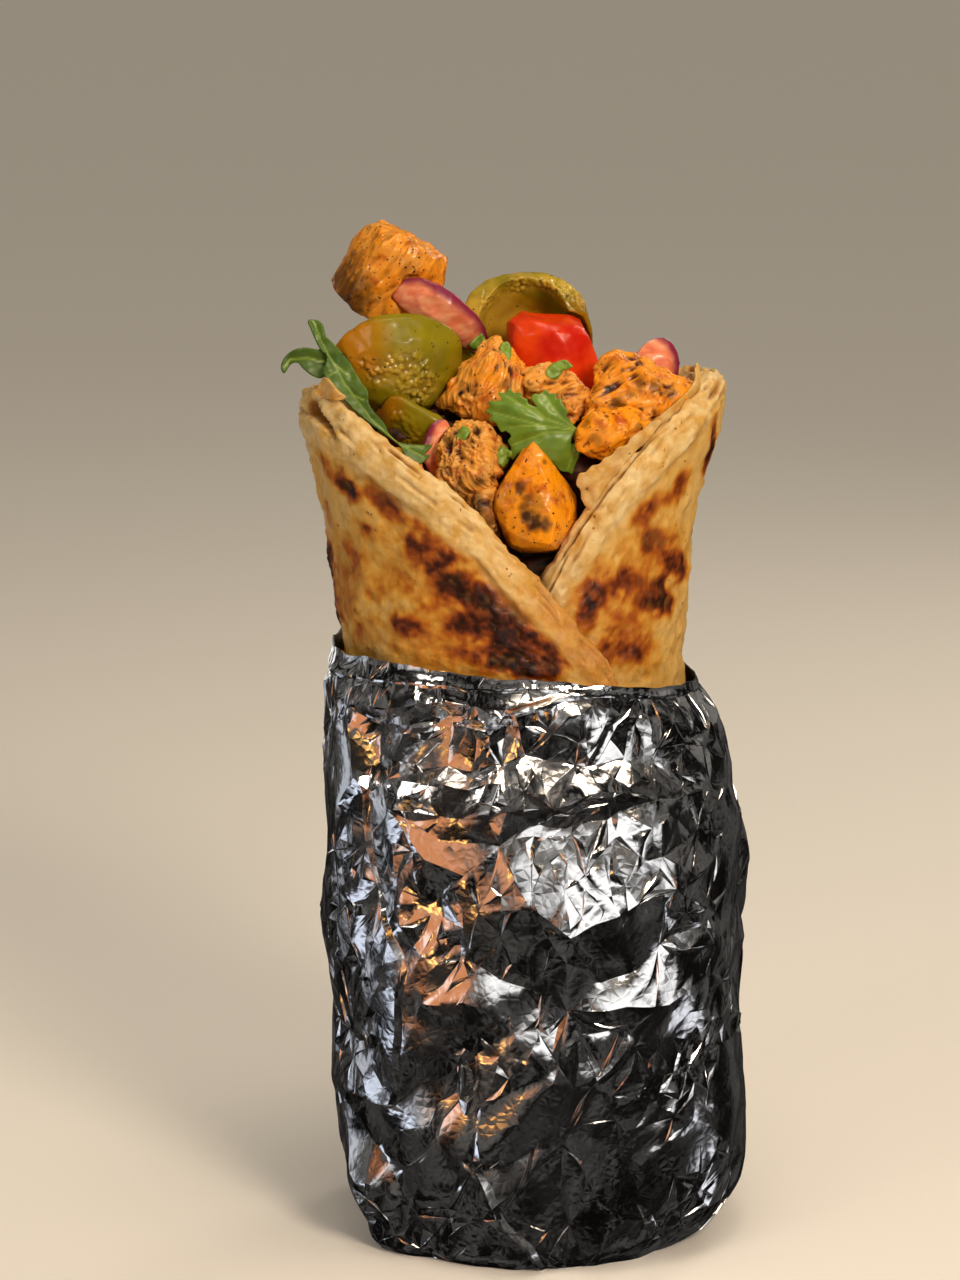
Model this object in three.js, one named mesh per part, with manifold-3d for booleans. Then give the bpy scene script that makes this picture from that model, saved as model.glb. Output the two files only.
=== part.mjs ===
// A kati roll standing in its foil: a flaky paratha rolled into a flared tube with a V-shaped front
// opening, heaped with spiced chicken, peppers, tomato, red onion and coriander.
// Millimetres and degrees. +Z is up, -Y is the front, the origin is the middle of the foil's base.
// Angles round the roll start at the front and grow towards +X.
import * as THREE from "three";
import { ImprovedNoise } from "three/addons/math/ImprovedNoise.js";
import { mergeVertices } from "three/addons/utils/BufferGeometryUtils.js";
import Module from "manifold-3d";

const wasm = await Module();
wasm.setup();
const { clamp, degToRad, lerp, seededRandom, smoothstep } = THREE.MathUtils;

// Driving dimensions.
const CLEARANCE = 0.35; // air between neighbouring pieces
const CORE_CLEARANCE = 1.4; // the packed filling keeps clear of coarser shapes
const DEPTH_RATIO = 0.9; // the roll is a little flatter from front to back
const SQUARENESS = 2.3; // superellipse power of the roll's section
const ROLL_HALF_WIDTH = [
  [0, 26.2],
  [9, 28.2],
  [32, 29.2],
  [70, 29.4],
  [96, 27.6],
  [105, 28.6],
  [115, 29.4],
  [124, 31],
  [132, 33.3],
  [139, 34.5],
];
const ROLL_AXIS_X = [
  [0, 2.4],
  [40, 1.2],
  [96, -1.6],
  [141, -2.6],
];

const PARATHA_THICKNESS = 4.2;
const PARATHA_FOOT = 2; // height of its lower end above the base
const PARATHA_SECTIONS = 62;
const RIM_ROUNDING = { height: 8.6, depth: 3.1, atRight: 0.4 }; // the puffed edge turns inwards
const LAYER_GAP = 0.5; // between the two flaps where they overlap
const FLAP_START = -34; // hidden inner end of the right flap
const FLAP_END = 398; // outer end of the left flap, one turn further on
const RIGHT_PEAK = { angle: 92, height: 140.6, drop: 29.1, reach: 77.5, power: 1.75 };
const LEFT_PEAK = { angle: 298, height: 139.6, drop: 43.6, reach: 101, power: 1.29 };
const BACK_DIP = 5; // how far the rim sags behind the filling

const FOIL_RIM = 95; // mean height of its slanting upper edge
const FOIL_SLANT = { front: 1.8, left: 2.9 };
const FOIL_AIR = 0.9; // between the paratha and the foil's smooth inner face
const FOIL_WALL = 0.9; // drawn thicker than the sheet, which is doubled and crumpled
const FOIL_FLOOR = 1.4;
const FOIL_BULGE = 2.6; // slack on the right-hand side
const FOIL_CORNER = { left: 1.4, right: 5.5, height: 13 }; // rounding above the base
const FOIL_COLUMNS = 44;
const FOIL_ROWS = 22;
const FOIL_CREASE_RADIUS = 33; // turns an angle into a length along the foil
const FOIL_FOLDS = { around: 2.5, pitch: 14, depth: 1.3, stand: 1.5 }; // soft folds all over the sheet
const FOIL_RIPPLE = { depth: 0.35, around: 5, pitch: 7 };

// Main creases as paths of [angle, height]: raised ones are folds, sunk ones are valleys.
const FOIL_CREASES = [
  { path: [[-46, 90], [-8, 89]], raise: -1.7, reach: 4 },
  { path: [[-62, 86], [-44, 84], [-23, 80], [-1, 82], [22, 79], [40, 81]], raise: 1.4, reach: 3.5 },
  { path: [[-44, 84], [-44, 68], [-31, 52], [-34, 33], [-43, 20]], raise: 1.3, reach: 5 },
  { path: [[32, 96], [42, 86], [39, 79]], raise: 1.2, reach: 4 },
  { path: [[56, 82], [56, 67], [50, 55]], raise: 1.3, reach: 4.5 },
  { path: [[-1, 64], [20, 57], [57, 70]], raise: 1.2, reach: 5 },
  { path: [[-23, 67], [-4, 49], [20, 57]], raise: 1, reach: 4 },
  { path: [[3, 49], [26, 49], [39, 42]], raise: 1.3, reach: 4.5 },
  { path: [[3, 49], [5, 35]], raise: 1, reach: 3.5 },
  { path: [[-43, 21], [-12, 20], [7, 2]], raise: 1.2, reach: 3 },
  { path: [[23, 33], [31, 25], [32, 16]], raise: 1.2, reach: 4 },
  { path: [[-56, 0], [-58, 9]], raise: 3, reach: 10 },
];

// The packed filling fills the roll up to where its rounded top begins, lower in the front opening.
const CORE_LEVELS = [4, 12, 70, 96, 108, 118, 125, 130, 134, 137, 138.6];
const CORE_TOP = 139;
const CORE_SHOULDER = { front: 107, behind: 127 };
const CORE_LEAN = 6; // how far its top lies behind the middle
const CORE_COLUMNS = 20;

const MATERIALS = {
  foil: { color: 0xc9cbcf, roughness: 0.22, metalness: 1 },
  paratha: { color: 0xd9a860, roughness: 0.55, metalness: 0 },
  filling: { color: 0x3c2110, roughness: 0.5, metalness: 0 },
  chicken: { color: 0xd97a25, roughness: 0.5, metalness: 0 },
  pepper: { color: 0x8a8a1e, roughness: 0.3, metalness: 0 },
  tomato: { color: 0xd8300f, roughness: 0.25, metalness: 0 },
  onion: { color: 0xc97f8a, roughness: 0.35, metalness: 0 },
  leaf: { color: 0x4d8a2c, roughness: 0.45, metalness: 0 },
};

const noise = new ImprovedNoise();

// A smooth curve through [position, value] stations, held level past its ends.
function profile(stations) {
  const positions = stations.map((s) => s[0]);
  const curve = new THREE.CubicInterpolant(positions, stations.map((s) => s[1]), 1);
  return (at) => curve.evaluate(clamp(at, positions[0], positions.at(-1)))[0];
}

const rollHalfWidth = profile(ROLL_HALF_WIDTH);
const rollAxisX = profile(ROLL_AXIS_X);

// Distance from the middle of an oval to its edge, at an angle from its depth direction.
function ovalRadius(angle, halfWidth, halfDepth) {
  const across = Math.abs(Math.sin(degToRad(angle))) / halfWidth;
  const along = Math.abs(Math.cos(degToRad(angle))) / halfDepth;
  return (across ** SQUARENESS + along ** SQUARENESS) ** (-1 / SQUARENESS);
}

function rollRadius(angle, z) {
  return ovalRadius(angle, rollHalfWidth(z), rollHalfWidth(z) * DEPTH_RATIO);
}

function pointAt(angle, radius, z) {
  const turn = degToRad(angle);
  return new THREE.Vector3(rollAxisX(z) + radius * Math.sin(turn), -radius * Math.cos(turn), z);
}

function geometryFrom(points, triangles) {
  return new THREE.BufferGeometry().setFromPoints(points).setIndex(triangles.flat());
}

// Two triangles for the quad a, b, c, d, split along its shorter diagonal.
function quad(points, a, b, c, d) {
  const first = points[a].distanceTo(points[c]) <= points[b].distanceTo(points[d]);
  return first ? [[a, b, c], [a, c, d]] : [[a, b, d], [b, c, d]];
}

// The triangles between closed rings of equally many points, each ring lying before the next.
function ringsJoined(points, rings) {
  const triangles = [];
  for (let i = 0; i + 1 < rings.length; i++)
    rings[i].forEach((from, k) => {
      const next = (k + 1) % rings[i].length;
      triangles.push(...quad(points, from, rings[i][next], rings[i + 1][next], rings[i + 1][k]));
    });
  return triangles;
}

// A cap of triangles from one middle point to a ring.
function fan(middle, ring, flip) {
  return ring.map((k, i) => {
    const next = ring[(i + 1) % ring.length];
    return flip ? [middle, next, k] : [middle, k, next];
  });
}

function addRing(points, ring) {
  points.push(...ring);
  return ring.map((_, k) => points.length - ring.length + k);
}

// The paratha: one sheet that starts under the left flap, goes once round by the back and ends as the
// left flap, which lies over the right one. Each section is a closed loop from the sheet's foot up
// its outer face, over the split rim and down its inner face.
function rimHeight(angle) {
  const ripple = 0.7 * noise.noise(angle / 17, 4.2, 0.5);
  const fallFrom = (peak, away) => peak.height - peak.drop * (away / peak.reach) ** peak.power;
  if (angle < RIGHT_PEAK.angle) return fallFrom(RIGHT_PEAK, RIGHT_PEAK.angle - angle) + ripple;
  if (angle > LEFT_PEAK.angle) return fallFrom(LEFT_PEAK, angle - LEFT_PEAK.angle) + ripple;
  const share = (angle - RIGHT_PEAK.angle) / (LEFT_PEAK.angle - RIGHT_PEAK.angle);
  const level = lerp(RIGHT_PEAK.height, LEFT_PEAK.height, share);
  return level - BACK_DIP * Math.sin(Math.PI * share) ** 1.5 + ripple;
}

// How far the right flap lies inside the left one.
function tuck(angle) {
  return (PARATHA_THICKNESS + LAYER_GAP) * (1 - smoothstep(angle, 42, 100));
}

// The puffed edge is thinner at the right-hand peak.
function rimRounding(angle) {
  const size = lerp(1, RIM_ROUNDING.atRight, Math.exp(-(((angle - 92) / 26) ** 2)));
  return { height: size * RIM_ROUNDING.height, depth: size * RIM_ROUNDING.depth };
}

function parathaSection(angle, grow) {
  const outerRows = [0, 0.06, 0.3, 0.66, 0.74, 0.81, 0.87, 0.94, 1];
  const innerRows = [0.96, 0.84, 0.7, 0.06, 0];
  const top = rimHeight(angle) + grow;
  const foot = PARATHA_FOOT - grow;
  const split = 0.25 + 1.6 * Math.max(0, noise.noise(angle / 23, 9.1, 2.2) + 0.2);
  const inner = PARATHA_THICKNESS + grow;
  const place = (depth, z) => {
    const swell = 0.5 * noise.noise(angle / 14, z / 9, 7.3);
    return pointAt(angle, rollRadius(angle, z) - tuck(angle) + swell - depth, z);
  };
  const rounding = rimRounding(angle);
  const level = (share) => lerp(foot, top - rounding.height, share);
  const rim = (share, below) => place(share * rounding.depth - grow, top - below * rounding.height);
  return [
    ...outerRows.map((share) => place(-grow, level(share))),
    rim(0.12, 0.72),
    rim(0.3 + split / RIM_ROUNDING.depth, 0.5),
    rim(0.48, 0.3),
    rim(0.75, 0.1),
    rim(1, 0),
    place(inner - 0.3, top - 0.9),
    place(inner, top - 2.5),
    ...innerRows.map((share) => place(inner, level(share))),
  ];
}

function parathaGeometry(grow = 0) {
  const points = [];
  const loops = [];
  for (let i = 0; i <= PARATHA_SECTIONS; i++) {
    const angle = lerp(FLAP_START - grow, FLAP_END + grow, i / PARATHA_SECTIONS);
    loops.push(addRing(points, parathaSection(angle, grow)));
  }
  const triangles = ringsJoined(points, loops).map((t) => t.toReversed());
  for (const [loop, flip] of [[loops[0], false], [loops.at(-1), true]]) {
    const outline = loop.map((k) => {
      const { x, y, z } = points[k];
      return new THREE.Vector2(Math.hypot(x - rollAxisX(z), y), z);
    });
    for (const corners of THREE.ShapeUtils.triangulateShape(outline, [])) {
      const triangle = corners.map((k) => loop[k]);
      triangles.push(flip ? triangle.toReversed() : triangle);
    }
  }
  return geometryFrom(points, triangles);
}

// The foil: a cup with a flat base, smooth inside and creased outside.
function foilRim(angle) {
  const turn = degToRad(angle);
  const slant = FOIL_SLANT.front * Math.cos(turn) - FOIL_SLANT.left * Math.sin(turn);
  return FOIL_RIM + slant + 0.9 * noise.noise(angle / 11, 2.4, 6.1);
}

function foilInnerRadius(angle, z) {
  const right = Math.max(0, Math.sin(degToRad(angle)));
  return rollRadius(angle, z) + FOIL_AIR + FOIL_BULGE * right ** 2 * (1 - smoothstep(z, 78, 92));
}

// Distance from a point to a path of [angle, height] corners, along the foil's surface.
function distanceToPath(angle, z, path) {
  const onFoil = ([a, height]) => new THREE.Vector3(degToRad(a) * FOIL_CREASE_RADIUS, height, 0);
  const at = onFoil([angle, z]);
  const nearest = new THREE.Vector3();
  let distance = Infinity;
  for (let i = 0; i + 1 < path.length; i++) {
    new THREE.Line3(onFoil(path[i]), onFoil(path[i + 1])).closestPointToPoint(at, true, nearest);
    distance = Math.min(distance, at.distanceTo(nearest));
  }
  return distance;
}

function crumple(angle, z) {
  const along = degToRad(angle) * FOIL_CREASE_RADIUS;
  const turn = degToRad(angle);
  const { around, pitch, depth, stand } = FOIL_FOLDS;
  const folds = noise.noise(around * Math.sin(turn), around * Math.cos(turn), z / pitch);
  let height = stand - depth * Math.abs(folds);
  for (const { path, raise, reach } of FOIL_CREASES)
    height += raise * Math.max(0, 1 - distanceToPath(angle, z, path) / reach);
  const ripple = Math.sin(along / FOIL_RIPPLE.around + z / FOIL_RIPPLE.pitch);
  return Math.max(0, height + FOIL_RIPPLE.depth * ripple);
}

function foilGeometry() {
  seededRandom(7);
  const shake = (size) => size * (seededRandom() - 0.5);
  const angleStep = 360 / FOIL_COLUMNS;
  const columns = Array.from({ length: FOIL_COLUMNS }, (_, k) => -180 + k * angleStep);
  const points = [];
  const outerRing = (row) =>
    columns.map((column) => {
      const inside = row > 1 && row < FOIL_ROWS;
      const angle = column + (inside ? shake(0.6 * angleStep) : 0);
      const top = foilRim(column);
      const step = top / FOIL_ROWS;
      const z = row < 2 ? 1.6 * row : clamp(step * row + (inside ? shake(0.6 * step) : 0), 3, top);
      const open = smoothstep(top - z, 0, 5); // the creases fade out at the rim
      const creases = (0.15 + 0.85 * open) * crumple(angle, z) + (inside ? shake(0.5) : 0);
      const right = Math.max(0, Math.sin(degToRad(angle))) ** 2;
      const rounding = lerp(FOIL_CORNER.left, FOIL_CORNER.right, right);
      const low = Math.max(0, 1 - z / lerp(2.5, FOIL_CORNER.height, right)) ** 2;
      return pointAt(angle, foilInnerRadius(angle, z) + FOIL_WALL + creases - rounding * low, z);
    });
  const innerRing = (share) =>
    columns.map((angle) => {
      const z = lerp(FOIL_FLOOR, foilRim(angle), share);
      return pointAt(angle, foilInnerRadius(angle, z), z);
    });
  const rings = [];
  for (let row = 0; row <= FOIL_ROWS; row++) rings.push(addRing(points, outerRing(row)));
  for (const share of [1, 0.88, 0.7, 0.36, 0.08, 0]) rings.push(addRing(points, innerRing(share)));
  const triangles = ringsJoined(points, rings);
  const [base, floor] = addRing(points, [pointAt(0, 0, 0), pointAt(0, 0, FOIL_FLOOR)]);
  triangles.push(...fan(base, rings[0], true), ...fan(floor, rings.at(-1), false));
  return geometryFrom(points, triangles);
}

// The filling packed inside the roll, which shows in the gaps between the pieces on top.
function coreGeometry() {
  const points = [];
  const rings = CORE_LEVELS.map((z) => {
    const section = Array.from({ length: CORE_COLUMNS }, (_, k) => {
      const angle = -180 + (k * 360) / CORE_COLUMNS;
      const front = Math.exp(-(((angle - 8) / 32) ** 2));
      const shoulder = lerp(CORE_SHOULDER.behind, CORE_SHOULDER.front, front);
      const rise = clamp((z - shoulder) / (CORE_TOP - shoulder), 0, 1);
      const folded = angle > FLAP_START - 16 ? tuck(angle) : 0;
      const room = rollRadius(angle, z) - folded - PARATHA_THICKNESS - 2.3;
      const lump = z > 110 ? 1.6 * noise.noise(angle / 19, z / 5, 3.3) * rise : 0;
      const point = pointAt(angle, room * (1 - rise ** 2.4) ** 0.5 + lump, z);
      return point.setY(point.y + CORE_LEAN * rise ** 2);
    });
    return addRing(points, section);
  });
  const ends = [pointAt(0, 0, CORE_LEVELS[0]), pointAt(0, 0, CORE_TOP).setY(CORE_LEAN)];
  const [under, over] = addRing(points, ends);
  const triangles = ringsJoined(points, rings);
  triangles.push(...fan(under, rings[0], true), ...fan(over, rings.at(-1), false));
  return geometryFrom(points, triangles);
}

// Pieces of the filling. Each shape is a function of how far it is grown and of how finely it is
// divided, so that its neighbours can be cut back from it, the packed filling by a coarse one.

// Directions spread evenly over a sphere and shaken, with a distance for each: the faces of a chunk.
function facesFrom(seed, count = 9) {
  seededRandom(seed);
  return Array.from({ length: count }, (_, k) => {
    const z = 1 - (2 * k + 1) / count;
    const turn = k * 2.4 + seededRandom();
    const flat = Math.sqrt(1 - z * z);
    const normal = new THREE.Vector3(flat * Math.cos(turn), flat * Math.sin(turn), z);
    normal.x += 0.5 * (seededRandom() - 0.5);
    normal.y += 0.5 * (seededRandom() - 0.5);
    return { normal: normal.normalize(), distance: 0.72 + 0.24 * seededRandom() };
  });
}

function faces(list) {
  return list.map(([x, y, z, distance]) => ({ normal: new THREE.Vector3(x, y, z).normalize(), distance }));
}

// A chunk with rounded edges between its faces and a craggy surface.
function chunk({ size, cut, power = 9, crag = 0.5, grain = 4, detail = 3 }) {
  return (grow, coarse) => {
    const geometry = new THREE.IcosahedronGeometry(1, coarse ? 2 : detail);
    geometry.deleteAttribute("normal");
    geometry.deleteAttribute("uv");
    const shape = mergeVertices(geometry, 1e-4);
    const position = shape.getAttribute("position");
    const p = new THREE.Vector3();
    for (let i = 0; i < position.count; i++) {
      const direction = p.fromBufferAttribute(position, i).clone();
      let sum = 0;
      for (const { normal, distance } of cut)
        sum += Math.max(0, normal.dot(direction) / distance) ** power;
      p.multiplyScalar(sum ** (-1 / power));
      p.set((p.x * size[0]) / 2, (p.y * size[1]) / 2, (p.z * size[2]) / 2);
      const bump = crag * noise.noise(p.x / grain + size[0], p.y / grain, p.z / grain);
      p.addScaledVector(direction, bump + 1.25 * grow);
      position.setXYZ(i, p.x, p.y, p.z);
    }
    return shape;
  };
}

// A curved slice: an outline in its own X and Z, bent round Z with its convex side to +Y.
// Both faces are divided alike. With an arch its ends droop towards -Z, as a crescent's do.
function slice({ outline, thick, bend, dome = 40, arch = 0, wave = 0, edge = 0.4, rings = 3, sectors = 24 }) {
  return (grow, coarse) => {
    const points = [];
    const around = coarse ? 12 : sectors;
    const inwards = coarse ? 2 : rings;
    const place = (turn, share, side) => {
      const [halfLength, halfWidth] = outline(turn);
      const x = (halfLength + grow) * Math.cos(turn) * share;
      const z = (halfWidth + grow) * Math.sin(turn) * share;
      const half = 0.5 * thick * (edge + (1 - edge) * Math.sqrt(1 - share ** 4)) + grow;
      const ripple = wave * share * Math.sin(4 * turn + x / 2);
      const radius = bend + side * half + ripple - (z * z) / (2 * dome);
      const depth = radius * Math.cos(x / bend) - bend;
      return new THREE.Vector3(radius * Math.sin(x / bend), depth, z - arch * x * x);
    };
    const turns = Array.from({ length: around }, (_, k) => (k * 2 * Math.PI) / around);
    const ringAt = (share, side) => addRing(points, turns.map((turn) => place(turn, share, side)));
    const shares = Array.from({ length: inwards }, (_, k) => (k + 1) / inwards);
    const loops = [
      ...shares.map((share) => ringAt(share, 1)),
      ...shares.toReversed().map((share) => ringAt(share, -1)),
    ];
    const [front, back] = addRing(points, [place(0, 0, 1), place(0, 0, -1)]);
    const triangles = ringsJoined(points, loops);
    triangles.push(...fan(front, loops[0], true), ...fan(back, loops.at(-1), false));
    return geometryFrom(points, triangles);
  };
}

const oval = (length, width, power = 2) => (turn) => {
  const stretch = (Math.abs(Math.cos(turn)) ** power + Math.abs(Math.sin(turn)) ** power) ** (-1 / power);
  return [(length / 2) * stretch, (width / 2) * stretch];
};

// An oval that is wider towards +X, as a slice from a cut onion is.
const tapered = (length, width, power, taper) => (turn) => {
  const [halfLength, halfWidth] = oval(length, width, power)(turn);
  return [halfLength, halfWidth * (1 + taper * Math.cos(turn))];
};

// An oval that is drawn out or pared away round some directions, as a piece cut across a pepper's ribs is.
const tipped = (length, width, power, tips) => (turn) => {
  let stretch = 1;
  for (const { angle, spread, reach } of tips) {
    const away = THREE.MathUtils.euclideanModulo(turn - degToRad(angle) + Math.PI, 2 * Math.PI) - Math.PI;
    stretch += reach * Math.exp(-((away / degToRad(spread)) ** 2));
  }
  return oval(length, width, power)(turn).map((half) => half * stretch);
};

// A coriander leaflet: three main lobes with teeth, its stalk side at +X.
const lobed = (length, width) => (turn) => {
  const lobes = 0.74 + 0.2 * Math.abs(Math.cos(1.5 * (turn - Math.PI))) ** 0.7;
  const stretch = lobes + 0.07 * Math.cos(11 * turn);
  return [(length / 2) * stretch, (width / 2) * stretch];
};

// A narrow leaf blade along a curve, folded at its midrib, widest in its middle.
function blade({ path, width, thick, facing, stations = 15 }) {
  return (grow) => {
    const curve = new THREE.CatmullRomCurve3(path.map((p) => new THREE.Vector3(...p)));
    const points = [];
    const loops = [];
    for (let i = 0; i <= stations; i++) {
      const share = i / stations;
      const middle = curve.getPoint(share);
      const ahead = curve.getTangent(share);
      const out = new THREE.Vector3(...facing).projectOnPlane(ahead).normalize();
      const side = new THREE.Vector3().crossVectors(ahead, out);
      const half = 0.5 * width * (0.3 + 0.7 * Math.sin(Math.PI * share) ** 0.7) + grow;
      const place = (across, face) => {
        const frill = 0.5 * across * Math.sin(9 * share + 2 * across);
        const rise = -0.5 * Math.abs(across) * half * 0.5 + frill + face * (thick / 2 + grow);
        return middle.clone().addScaledVector(side, across * half).addScaledVector(out, rise);
      };
      const upper = [-1, -0.5, 0, 0.5, 1].map((across) => place(across, 1));
      const lower = [1, 0.5, 0, -0.5, -1].map((across) => place(across, -1));
      loops.push(addRing(points, [...upper, ...lower]));
    }
    const triangles = ringsJoined(points, loops);
    const [start, end] = addRing(points, [curve.getPoint(0), curve.getPoint(1)]);
    triangles.push(...fan(start, loops[0], true), ...fan(end, loops.at(-1), false));
    return geometryFrom(points, triangles);
  };
}

// Pieces in the order in which they keep their shape: each is cut back from those before it.
const PIECES = [
  {
    name: "leaf_main",
    material: "leaf",
    at: [1.2, -14.8, 134],
    turn: [-14, 4, 176],
    shape: slice({
      outline: lobed(16, 15.5),
      thick: 0.8,
      bend: 16,
      wave: 0.5,
      edge: 0.8,
      rings: 2,
      sectors: 44,
    }),
  },
  {
    name: "leaf_left",
    material: "leaf",
    at: [0, 0, 0],
    turn: [0, 0, 0],
    shape: blade({
      path: [[-33, -7, 150], [-31, -10, 144], [-28, -13.5, 138], [-22.5, -16.5, 133.5], [-15, -18.5, 129]],
      width: 5,
      thick: 0.8,
      facing: [-0.5, -0.8, 0.4],
    }),
  },
  {
    name: "leaf_curl",
    material: "leaf",
    at: [0, 0, 0],
    turn: [0, 0, 0],
    shape: blade({
      path: [[-31.6, -8.4, 143.2], [-33.6, -9, 144.6], [-36, -10, 144.2], [-38, -11, 141.6]],
      width: 3.6,
      thick: 0.8,
      facing: [-0.2, -0.7, 0.7],
      stations: 9,
    }),
  },
  {
    name: "chicken_front",
    material: "chicken",
    at: [0.9, -19, 123.6],
    turn: [0, 0, 0],
    shape: chunk({
      size: [14.5, 13, 19],
      cut: faces([
        [-0.3, -0.9, 0.3, 0.7],
        [0.85, -0.35, 0.35, 0.66],
        [0, -0.2, -1, 0.85],
        [-0.8, -0.1, -0.5, 0.85],
        [0.8, -0.2, -0.45, 0.9],
        [0, 1, 0.1, 0.8],
        [-0.75, 0.1, 0.6, 0.7],
        [0.6, 0.2, 0.75, 0.74],
      ]),
      power: 14,
      crag: 0.25,
    }),
  },
  {
    name: "chicken_left",
    material: "chicken",
    at: [-8.8, -15, 128.7],
    turn: [10, 20, 30],
    shape: chunk({ size: [12, 13, 12], cut: facesFrom(11), crag: 0.9 }),
  },
  {
    name: "chicken_low",
    material: "chicken",
    at: [-6.8, -17.6, 121.5],
    turn: [0, 30, 0],
    shape: chunk({ size: [9.5, 9, 9], cut: facesFrom(5), detail: 2 }),
  },
  {
    name: "pepper_left",
    material: "pepper",
    at: [-20, -8.5, 142.2],
    turn: [-18, 8, 188],
    shape: slice({
      outline: tipped(22.5, 17, 2.3, [
        { angle: 257, spread: 26, reach: 0.3 },
        { angle: 312, spread: 24, reach: -0.14 },
      ]),
      thick: 4.6,
      bend: 15,
      dome: 16,
    }),
  },
  {
    name: "chicken_right_top",
    material: "chicken",
    at: [18, -6.8, 137.6],
    turn: [0, 10, -20],
    shape: chunk({ size: [16, 13, 12], cut: facesFrom(23), crag: 1 }),
  },
  {
    name: "chicken_right_low",
    material: "chicken",
    at: [13, -13, 133.2],
    turn: [0, -20, 20],
    shape: chunk({ size: [12.5, 10, 8.8], cut: facesFrom(31), crag: 1, detail: 2 }),
  },
  {
    name: "chicken_centre_left",
    material: "chicken",
    at: [-7.1, -7, 139.6],
    turn: [0, 0, 0],
    shape: chunk({
      size: [16, 12, 15],
      cut: faces([
        [-0.73, -0.15, 0.66, 0.42],
        [0.75, -0.1, 0.66, 0.8],
        [-0.33, -0.1, -0.94, 0.68],
        [0.5, -0.1, -0.86, 0.76],
        [-0.6, -0.8, -0.1, 0.62],
        [0.25, -0.95, 0.2, 0.72],
        [0.95, 0.1, -0.2, 0.88],
        [0, 1, 0, 0.8],
      ]),
      power: 13,
      crag: 1,
    }),
  },
  {
    name: "chicken_centre_right",
    material: "chicken",
    at: [4.2, -6, 137.8],
    turn: [0, 20, -10],
    shape: chunk({ size: [13.5, 11, 10], cut: facesFrom(57), crag: 1, detail: 2 }),
  },
  {
    name: "tomato",
    material: "tomato",
    at: [5.2, 1.5, 141.6],
    turn: [0, 0, 10],
    shape: chunk({
      size: [17.5, 13, 17.5],
      cut: faces([
        [-1, 0, 0, 0.9],
        [0.1, -0.1, 1, 0.84],
        [0.94, -0.1, 0.33, 0.7],
        [-0.45, -0.85, 0.1, 0.74],
        [0.4, -0.9, 0.15, 0.74],
        [0, -0.1, -1, 0.9],
        [0.7, -0.4, -0.6, 0.96],
        [0, 1, 0, 0.85],
      ]),
      power: 11,
      crag: 0.4,
    }),
  },
  {
    name: "pepper_low",
    material: "pepper",
    at: [-18.5, -9, 132.8],
    turn: [-30, -30, 170],
    shape: slice({ outline: oval(14, 10, 3), thick: 3, bend: 15, dome: 24, rings: 2, sectors: 18 }),
  },
  {
    name: "onion_top",
    material: "onion",
    at: [-12.4, 3.5, 149.6],
    turn: [-10, -36, 190],
    shape: slice({
      outline: tapered(19, 6.2, 3, 0.18),
      thick: 2.4,
      bend: 13,
      dome: 14,
      arch: 0.018,
      rings: 2,
      sectors: 22,
    }),
  },
  {
    name: "pepper_back",
    material: "pepper",
    at: [-0.2, 16, 147],
    turn: [14, 0, 0],
    shape: slice({
      outline: tipped(30, 18.5, 3, [
        { angle: 36, spread: 20, reach: 0.1 },
        { angle: 140, spread: 24, reach: -0.08 },
      ]),
      thick: 4.2,
      bend: 9.6,
      dome: 14,
      edge: 0.75,
    }),
  },
  {
    name: "chicken_back",
    material: "chicken",
    at: [-21, 11, 155],
    turn: [10, 28, 20],
    shape: chunk({
      size: [18, 15, 16.5],
      cut: faces([
        [1, 0, 0, 0.82],
        [-1, 0, 0.1, 0.82],
        [0, 1, 0, 0.85],
        [0.1, -1, 0, 0.85],
        [0, 0, 1, 0.8],
        [0, 0.1, -1, 0.85],
        [0.7, -0.5, 0.6, 0.92],
      ]),
      power: 14,
      crag: 0.6,
    }),
  },
  {
    name: "chicken_side",
    material: "chicken",
    at: [-21, -14.5, 126.3],
    turn: [0, 0, 35],
    shape: chunk({ size: [13, 11, 11], cut: facesFrom(17), crag: 0.9, detail: 2 }),
  },
  {
    name: "chicken_rear_left",
    material: "chicken",
    at: [-16, 14.5, 141.4],
    turn: [0, 0, 40],
    shape: chunk({ size: [18, 15, 16.5], cut: facesFrom(71), crag: 0.9, detail: 2 }),
  },
  {
    name: "chicken_rear_right",
    material: "chicken",
    at: [12, 15.5, 132.6],
    turn: [0, 0, -30],
    shape: chunk({ size: [18, 13, 13], cut: facesFrom(83), crag: 0.9, detail: 2 }),
  },
  {
    name: "onion_right",
    material: "onion",
    at: [20.6, 3.5, 140],
    turn: [-20, 70, 170],
    shape: slice({ outline: oval(12, 8, 2.1), thick: 2.2, bend: 8, dome: 9, rings: 2, sectors: 18 }),
  },
  {
    name: "onion_low",
    material: "onion",
    at: [-14, -13.6, 130],
    turn: [0, 78, 190],
    shape: slice({ outline: oval(11, 5, 2.1), thick: 1.8, bend: 9, dome: 12, rings: 2, sectors: 18 }),
  },
  {
    name: "onion_rear",
    material: "onion",
    at: [-3, 19.5, 138.5],
    turn: [25, -12, 8],
    shape: slice({ outline: oval(18, 8, 2.2), thick: 2.2, bend: 13, dome: 14, rings: 2, sectors: 18 }),
  },
];

function solidFrom(geometry) {
  const bare = mergeVertices(geometry, 1e-4);
  return new wasm.Manifold(
    new wasm.Mesh({
      numProp: 3,
      vertProperties: bare.getAttribute("position").array,
      triVerts: new Uint32Array(bare.index.array),
    }),
  );
}

function geometryFromSolid(solid) {
  const { vertProperties, triVerts } = solid.getMesh();
  const geometry = new THREE.BufferGeometry();
  geometry.setAttribute("position", new THREE.BufferAttribute(vertProperties, 3));
  geometry.setIndex(new THREE.BufferAttribute(triVerts, 1));
  return geometry;
}

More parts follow.
